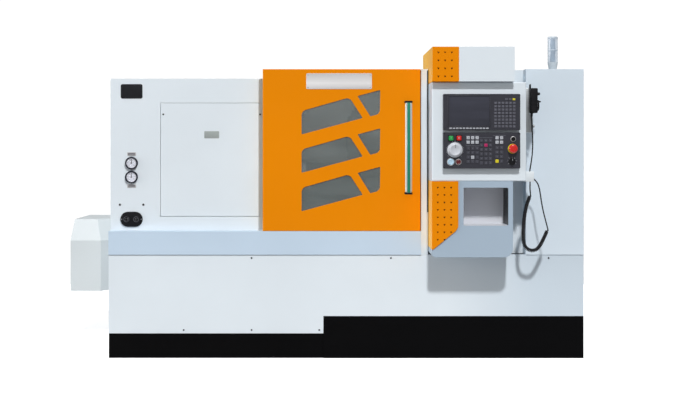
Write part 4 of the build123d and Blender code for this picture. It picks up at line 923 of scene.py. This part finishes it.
def make_handset():
    left, right, mid, low, top, wheel_z, knob_z = 998, 1036, -145, 1368, 1503, 1410, 1472
    hub = (right, mid, wheel_z, "X")
    case = [block(left + 0.5, right, mid - 41, mid + 41, low, top, 6, 4)]
    case += [block(left + 0.3, right - 4, mid - 41.6, mid + 41.6, z, z + 3.4, 1.2) for z in (1380, 1390, 1400, 1420)]
    case += [block(left + 0.4, left + 6, mid - 15, mid + 15, top - 5, top + 22, 2.4, 3)]
    boot = [(0, 0), (4.6, 0), (5.4, 1), (4.8, 3), (5.8, 5), (5.2, 7.5), (6.4, 10), (5.8, 13), (7, 16), (7, 21), (0, 21)]
    case.append(spun(boot, *upper_lead[0], "Z", 20))
    ring = spun([(30.8, 0), (30.8, 0.5), (34.5, 0.5), (34.5, 0)], *hub, 48)
    ticks = around(range(0, 360, 18), lambda: block(right + 0.3, right + 0.7, mid - 0.4, mid + 0.4, wheel_z + 31.2,
                                                    wheel_z + 34, 0.1, 1), *hub)
    make_piece("handset_case", {black_plastic: case, satin_plate: [ring], mark_black: ticks},
               replaces=["handset_body"])
    wheel = [(0, 0.4), (29, 0.4), (30, 2), (30, 9), (28.5, 11), (25, 11.2), (22, 9.6), (9, 9.2), (7, 10.6), (0, 10.8)]
    grip = [(0, 9), (4.4, 9), (5, 13), (4.6, 21), (3, 23), (0, 23.2)]
    ribs = around(range(0, 360, 10), lambda: block(right + 2.2, right + 8.8, mid - 0.8, mid + 0.8, wheel_z + 29,
                                                   wheel_z + 30.4, 0.4, 1), *hub)
    make_piece("handset_wheel_knob", {black_plastic: [spun(wheel, *hub, 48),
                                                      spun(grip, right, mid, wheel_z + 20.4, "X", 20)] + ribs},
               "handset_wheel", ["handset_wheel"])
    knob = [(0, 0.4), (9, 0.4), (9, 5), (7.6, 6), (7.4, 13.4), (6.4, 15), (0, 15.2)]
    for name, y in (("axis_knob", mid - 18), ("rate_knob", mid + 18)):
        pointer = block(right + 15, right + 15.5, y - 0.6, y + 0.6, knob_z + 1, knob_z + 7, 0.15, 1)
        make_piece(name + "_cap", {black_plastic: [spun(knob, right, y, knob_z, "X", 24)], mark_white: [pointer]},
                   name, [name])


def make_holder():
    left, fold, mid, clip_low, clip_high = 972, 1014, -131, 994, 1050
    sheet = blocks(3, 2, (left, left + 25.6, mid - 22, mid + 22, 1262, 1503),
                   (left + 24, fold, mid - 22, mid + 22, 1262, 1362))
    y, z = mid - 8, 1297
    thumb = [spun([(0, 0), (3, 0), (3, 3), (8, 3.4), (8, 11), (7, 12), (0, 12)], fold, y, z, "X", 20)]
    thumb += around(range(0, 360, 30), lambda: block(fold + 3.8, fold + 10.6, y - 0.6, y + 0.6, z + 7.4, z + 8.3,
                                                     0.3, 1), fold, y, z, "X")
    clip = [block(left, left + 4, -155, -111, clip_low, clip_high, 1.2)]
    clip += blocks(1.6, 2, (left, 1021, -155, -151, clip_low, clip_high), (left, 1021, -115, -111, clip_low, clip_high))
    gland = [spun([(0, 0), (9, 0), (9, 3), (7.6, 4), (7, 5), (4, 6), (0, 6)], left + 4, -125, 1026, "X", 24)]
    make_piece("handset_holder", {guard_steel: sheet, bright_screw: thumb, clip_white: clip, black_plastic: gland},
               replaces=["handset_bracket"])


def make_gap_cover():
    """Folded sheet that closes the gap between the housing and the right cabinet."""
    left, right, front, back, low = 972, 1005.4, -108, 69.5, 999
    sheet = blocks(0.8, 2, (left, right, front, back, low, low + 3), (left, left + 2.5, front, back, low + 1, low + 32),
                   (left, right, front, front + 2.5, low + 1, low + 14))
    button = [(0, 0), (5, 0), (5, 1), (4.4, 2.4), (2.6, 3.2), (2, 3.2), (1.8, 1.4), (0, 1.4)]
    screws = [spun(button, left + 2.5, y, low + 20, "X", 18) for y in (-70, 0, 50)]
    make_piece("pendant_gap_cover", {housing_paint: sheet, bright_screw: screws})


def make_signal_tower():
    foot = (1179, 100, 1619, "Z")
    base = [(0, 0), (23, 0), (23, 5), (21.5, 7), (23, 10), (28.4, 42), (29, 46), (0, 46)]
    ridges = [ridge for step in range(17) for ridge in ((29, 48 + 8 * step), (28, 52 + 8 * step))]
    lens = [(28.6, 46), *ridges, (29, 183), (28.6, 184)]
    core = [(0, 48), (15, 48), (15, 100), (16.5, 102), (16.5, 120), (15, 122), (15, 178), (0, 178)]
    cap = [(0, 184), (29, 184), (29, 187), (27.5, 190), (24, 191.8), (0, 192)]
    seam = [(28.4, 113), (29, 113.4), (29, 116.6), (28.4, 117)]
    make_piece("signal_lamp", {lamp_grey: [spun(profile, *foot, 40) for profile in (base, cap, seam)],
                               lamp_clear: [spun(lens, *foot, 40)], lamp_core: [spun(core, *foot, 32)]},
               replaces=["signal_tower"])


make_handset()
make_holder()
make_gap_cover()
make_signal_tower()


# Work space, on the slant of the bed; an axis by its depth and height, a face by its place along the machine

spindle = (430, 980)
turret = (663.3, 1213.3)
wall_face, chuck_face, jaw_face, turret_face = -427, -225, -201, 23.7
turret_rear, tailstock_left, clamp_x = 330, 480, 620


def on_slant(shape):
    """A shape built level at the origin, moved onto the slant through the spindle."""
    return moved(shape, Matrix.Translation((0, *spindle)) @ Matrix.Rotation(pi / 4, 4, "X"))


def side_screw(x, y, z, radius, head):
    """Cap screw that looks to the right, or to the left with a negative head."""
    profile = [(0, 0), (radius, 0), (radius, 0.8 * head), (0.88 * radius, head), (0.55 * radius, head),
               (0.5 * radius, 0.45 * head), (0, 0.45 * head)]
    return spun(profile, x, y, z, "X", 18)


def ring_of_screws(count, reach, x, y, z, radius, head, first=0):
    """Cap screws on a circle about an axis that runs left to right."""
    turns = [first + 360 * step / count for step in range(count)]
    return around(turns, lambda: side_screw(x, y, z + reach, radius, head), 0, y, z, "X")


def make_chuck_fittings():
    y, z = spindle
    bolts = [bolt for first in (42, 78) for bolt in ring_of_screws(3, 92, chuck_face, y, z, 8, 3, first)]
    make_piece("chuck_bolts", {dark_screw: bolts}, "chuck")
    for index in range(3):
        screws = [turned_about(side_screw(jaw_face, y, z + reach, 6.5, 4), 120 * index, 0, y, z, "X")
                  for reach in (80, 100)]
        make_piece(f"jaw_{index + 1}_screws", {dark_screw: screws}, f"chuck_jaw_{index + 1}")
    seal = spun([(80, 0), (80, 5), (84, 8), (104, 8), (110, 4), (110, 0)], wall_face, y, z, "X", 64)
    make_piece("spindle_seal", {ground_steel: [seal], dark_screw: ring_of_screws(6, 97, wall_face + 8, y, z, 5, 3)})


def make_turret_fittings():
    y, z = turret
    cover = spun([(0, -16), (40, -16), (46, -14), (52, -9), (62, -8), (64, -6), (64, 0)], turret_face, y, z, "X", 48)
    screws = ring_of_screws(6, 57, turret_face - 8, y, z, 3.4, -2.4)
    clamps, inserts = [], []
    for index in range(6):
        place = (60 * index + 15, 0, y, z, "X")
        group = [side_screw(45.7, y + 12 * side, z + 177, 5, -4) for side in sides]
        group.append(side_screw(turret_face - 7, y, z + 132, 6, -4))
        wedge = block(turret_face - 7, turret_face + 0.5, y - 20, y + 20, z + 118, z + 146, 3)
        tip = block(57.9, 60, y - 5, y + 5, z + 206, z + 217.5, 0.8)
        screws += [turned_about(shape, *place) for shape in group]
        clamps.append(turned_about(wedge, *place))
        inserts.append(turned_about(tip, *place))
    make_piece("turret_fittings", {turret_steel: [cover] + clamps, dark_screw: screws, insert_gold: inserts}, "turret")
    rear = spun([(0, 6), (70, 6), (78, 5), (84, 0)], turret_rear, y, z, "X", 48)
    make_piece("turret_drive_cover", {black_plastic: [rear],
                                      dark_screw: ring_of_screws(6, 62, turret_rear + 6, y, z, 4, 3)},
               "cross_slide")


def make_slide_fittings():
    """Way wipers of the carriage and the tailstock, the nose ring and the clamp lever."""
    for name, left, right, ways in (("carriage", 110, 370, (150, 360)),
                                    ("tailstock", tailstock_left, 760, (-165, -35))):
        lips, backs, screws = [], [], []
        for u in ways:
            for x, way in ((left, -1), (right, 1)):
                for group, depth, low, high in ((lips, 5, -259.4, -246), (backs, 7, -248, -232)):
                    group.append(on_slant(block(*sorted((x, x + depth * way)), u - 38, u + 38, low, high)))
                screws += [on_slant(side_screw(x + 7 * way, u + step, -240, 4, 2.6 * way)) for step in (-26, 26)]
        make_piece(name + "_way_wipers", {gasket_rubber: lips, guard_steel: backs, dark_screw: screws}, name)
    y, z = spindle
    ring = spun([(41, 0.5), (41, -6), (44, -9), (66, -9), (70, -6), (71.6, 0.5)], tailstock_left, y, z, "X", 56)
    post = spun([(0, 66), (13, 66), (13, 84), (11, 88), (0, 89)], clamp_x, y, z, "Z", 24)
    arm = turned_about(block(clamp_x - 4, clamp_x + 4, y - 96, y, z + 76, z + 84, 2.5, 3), -20, clamp_x, y, z + 80, "X")
    ball = spun([(12 * sin(pi * step / 10), -12 * cos(pi * step / 10)) for step in range(11)], clamp_x, y - 96,
                z + 114, "Z", 24)
    make_piece("tailstock_clamp", {ground_steel: [ring, post, arm], black_plastic: [ball],
                                   dark_screw: ring_of_screws(6, 55, tailstock_left - 9, y, z, 4, -3)},
               "tailstock")


make_chuck_fittings()
make_turret_fittings()
make_slide_fittings()


# Left end and roof

left_face, low_roof, high_roof = -1330, 1569, 1619
mist_port, roof_fan = (430, 1290), (1010, 1240)


def end_plate(y, z, width, height, thick, corner, edge):
    """Plate built for the front and turned to lie on the left end."""
    return turned_about(plate(-y, z, width, height, left_face, left_face - thick, corner, edge), -90, 0, 0, 0, "Z")


def end_screws(thick, columns, rows, radius=5):
    return [side_screw(left_face - thick, y, z, radius, -2.6) for y in columns for z in rows]


def make_left_end():
    """Service door with hinges and a lock, pressed vent, and the flange of the drive guard."""
    sheets = [end_plate(480, 1140, 660, 640, 2.5, 10, 1), end_plate(1250, 1160, 340, 420, 2, 8, 0.8)]
    seals = [end_plate(480, 1140, 668, 648, 0.8, 13, 0.3), end_plate(1250, 1160, 344, 424, 0.6, 10, 0.2)]
    flange = [block(left_face - 3, left_face, *limits) for limits in (
        (764, 798, 262, 762), (1037, 1067, 262, 762), (790, 1045, 262, 288), (790, 1045, 733, 762))]
    slats = [turned_about(block(left_face - 9, left_face + 1, 1110, 1390, z - 9, z + 9, 4, 3), -18, left_face, 1250, z)
             for z in range(999, 1320, 32)]
    hinges = [spun([(0, -34), (5, -34), (6.4, -32), (6.4, -1), (5.8, 0), (6.4, 1), (6.4, 32), (5, 34), (0, 34)],
                   left_face - 5, 816, z, "Z", 18) for z in (930, 1350)]
    lock = [spun([(0, -10), (7, -10), (8, -9), (8, -4), (15, -3.6), (17, -2.4), (17, 0)], left_face, 176, 1140, "X",
                 28)]
    key_slot = [block(left_face - 10.6, left_face - 9.4, 174.6, 177.4, 1135, 1145, 0.4, 1)]
    screws = end_screws(3, (781, 1052), (280, 430, 590, 745)) + end_screws(2, (1094, 1406), (965, 1355), 4.5)
    screws += end_screws(0, (110, 560, 1520), (170, 1535))
    make_piece("left_end_fittings", {white_paint: sheets + flange + slats, bright_screw: hinges + lock,
                                     dark_screw: screws, black_plastic: key_slot, gasket_rubber: seals})


def make_roof_fittings():
    """Joint strips, lifting plates, mist port and fan cover, all low and towards the back."""
    strips = [block(x, x + 24, front, 1590, roof - 1, roof + 3)
              for x, front, roof in ((-886, 200, low_roof), (120, 220, high_roof), (700, 420, high_roof))]
    feet, plugs = [], []
    for x, y, z in ((-1240, 420, low_roof), (-1240, 1480, low_roof), (1210, 520, high_roof), (1210, 1480, high_roof)):
        feet.append(block(x - 45, x + 45, y - 35, y + 35, z - 1, z + 7, 2.5, 3))
        plugs.append(spun([(0, 12), (9, 12), (10, 11), (10, 9), (18, 8.6), (20, 7), (20, 5)], x, y, z, "Z", 24))
        plugs += [spun([(0, 9.4), (2.6, 9.4), (4, 8.6), (4, 6)], x + sx * 34, y + sy * 24, z, "Z", 14)
                  for sx in sides for sy in sides]
    port = [spun([(112, -1), (112, 5), (110, 7), (80, 7.5), (76, 10), (76, 36), (79, 38), (79, 42), (76, 44), (70, 44),
                  (70, 6), (0, 6)], *mist_port, high_roof, "Z", 56)]
    x, y = roof_fan
    hub = (x, y, high_roof, "Z")
    well = [spun([(105, 3), (104, 6), (0, 5)], *hub, 64)]
    fan = [spun([(0, 24), (24, 24), (26, 22), (26, 6)], *hub, 32),
           spun([(120, -1), (120, 10), (117, 14), (110, 15), (106, 12), (105, 3)], *hub, 64)]
    fan += [spun([(radius - 2, 19), (radius, 21), (radius + 2, 19), (radius, 17), (radius - 2, 19)], *hub, 48)
            for radius in (44, 62, 80, 96)]
    fan += around(range(0, 360, 45), lambda: block(x - 2, x + 2, y + 24, y + 112, high_roof + 15, high_roof + 20, 1, 1),
                  *hub)
    screws = []
    for (x, y), reach, rise in ((mist_port, 98, 6), (roof_fan, 112, 14)):
        head = [(0, rise + 3), (3.4, rise + 3), (4.6, rise + 1.6), (4.6, rise - 2)]
        screws += around(range(30, 360, 60), lambda: spun(head, x, y + reach, high_roof, "Z", 14), x, y, 0, "Z")
    make_piece("roof_fittings", {roof_paint: strips + port, dark_casting: feet, gasket_rubber: well, guard_steel: fan,
                                 bright_screw: plugs + screws})


make_left_end()
make_roof_fittings()


# Studio and camera

def make_floor():
    """White floor that takes the shadow."""
    floor = bmesh.new()
    bmesh.ops.create_grid(floor, x_segments=4, y_segments=4, size=2.3)
    mesh = bpy.data.meshes.new("studio_floor")
    floor.to_mesh(mesh)
    floor.free()
    material, tree, shader = new_finish("studio_floor_white", Roughness=0.9, Specular_IOR_Level=0.1,
                                        Emission_Color=(1, 1, 1, 1), Emission_Strength=0.6)
    cloud = grain(tree, object_place(tree), 0.4)
    white = blend_colour(tree, span(tree, cloud, 0, 1), (0.93, 0.93, 0.93, 1), (0.95, 0.95, 0.95, 1))
    surface(tree, shader, white)
    mesh.materials.append(material)
    stage = bpy.data.objects.new("studio_floor", mesh)
    scene.collection.objects.link(stage)
    stage.visible_diffuse = False


def make_world():
    """White behind the machine, and a dimmer white that lights it."""
    world = bpy.data.worlds.new("studio_white")
    scene.world = world
    world.use_nodes = True
    tree = world.node_tree
    seen = add_node(tree, "Background", {"Color": (1, 1, 1, 1), "Strength": 1.05})
    light = add_node(tree, "Background", {"Color": (0.97, 0.985, 1, 1), "Strength": 0.36})
    mix = add_node(tree, "MixShader", {0: add_node(tree, "LightPath").outputs["Is Camera Ray"],
                                       1: light.outputs[0], 2: seen.outputs[0]})
    tree.links.new(mix.outputs[0], tree.nodes["World Output"].inputs["Surface"])


def add_lamp(name, kind, energy, turn, **settings):
    light = bpy.data.lights.new(name, kind)
    light.energy = energy
    for setting, value in settings.items():
        setattr(light, setting, value)
    lamp = bpy.data.objects.new(name, light)
    lamp.rotation_euler = turn
    scene.collection.objects.link(lamp)
    return lamp


def link_group(name, pieces, state):
    """Collection of pieces that a lamp reaches, or leaves out."""
    group = bpy.data.collections.new(name)
    for piece in pieces:
        group.objects.link(piece)
    for member in group.collection_objects:
        member.light_linking.link_state = state
    return group


def make_lamps():
    """Two suns, one of them for the left cabinet's front alone, a fill from the left and a lamp inside."""
    from_top = radians(41)
    key = add_lamp("key", "SUN", 2.6, (from_top, 0, radians(2)), angle=radians(4))
    side_key = add_lamp("side_key", "SUN", 2.92, (from_top, 0, radians(27)), angle=radians(3))
    left_front = [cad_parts[name] for name in ("left_cabinet_front", "access_cover")]
    left_front += [bpy.data.objects[name] for name in ("upper_gauge", "lower_gauge", "cabinet_plates",
                                                       "foot_switch_sockets")]
    for lamp, state in ((key, "EXCLUDE"), (side_key, "INCLUDE")):
        lamp.light_linking.receiver_collection = link_group(lamp.name + "_reach", left_front, state)
    handle = bpy.data.objects["door_handle_tube"]
    key.light_linking.blocker_collection = link_group("key_unshaded", [handle], "EXCLUDE")
    inside = add_lamp("inside", "AREA", 2.2, (radians(20), 0, 0), shape="RECTANGLE", size=0.8, size_y=0.25)
    inside.location = at(-20, 260, 1560)
    inside.visible_camera = False
    from_left = Vector((-1, -0.17, 0.12)).to_track_quat("Z", "Y").to_euler()
    add_lamp("left_fill", "SUN", 1.5, from_left, angle=radians(30))


def make_camera():
    camera = bpy.data.cameras.new("camera")
    camera.sensor_width = 36
    camera.lens = 52.17
    camera.shift_x = 0.0217
    camera.shift_y = -0.0797
    camera.clip_end = 100
    view = bpy.data.objects.new("camera", camera)
    view.location = at(-90, -5600, 1194)
    view.rotation_euler = (pi / 2, 0, 0)
    scene.collection.objects.link(view)
    scene.camera = view


make_floor()
make_world()
make_lamps()
make_camera()
scene.view_settings.view_transform = "Standard"
scene.view_settings.look = "None"
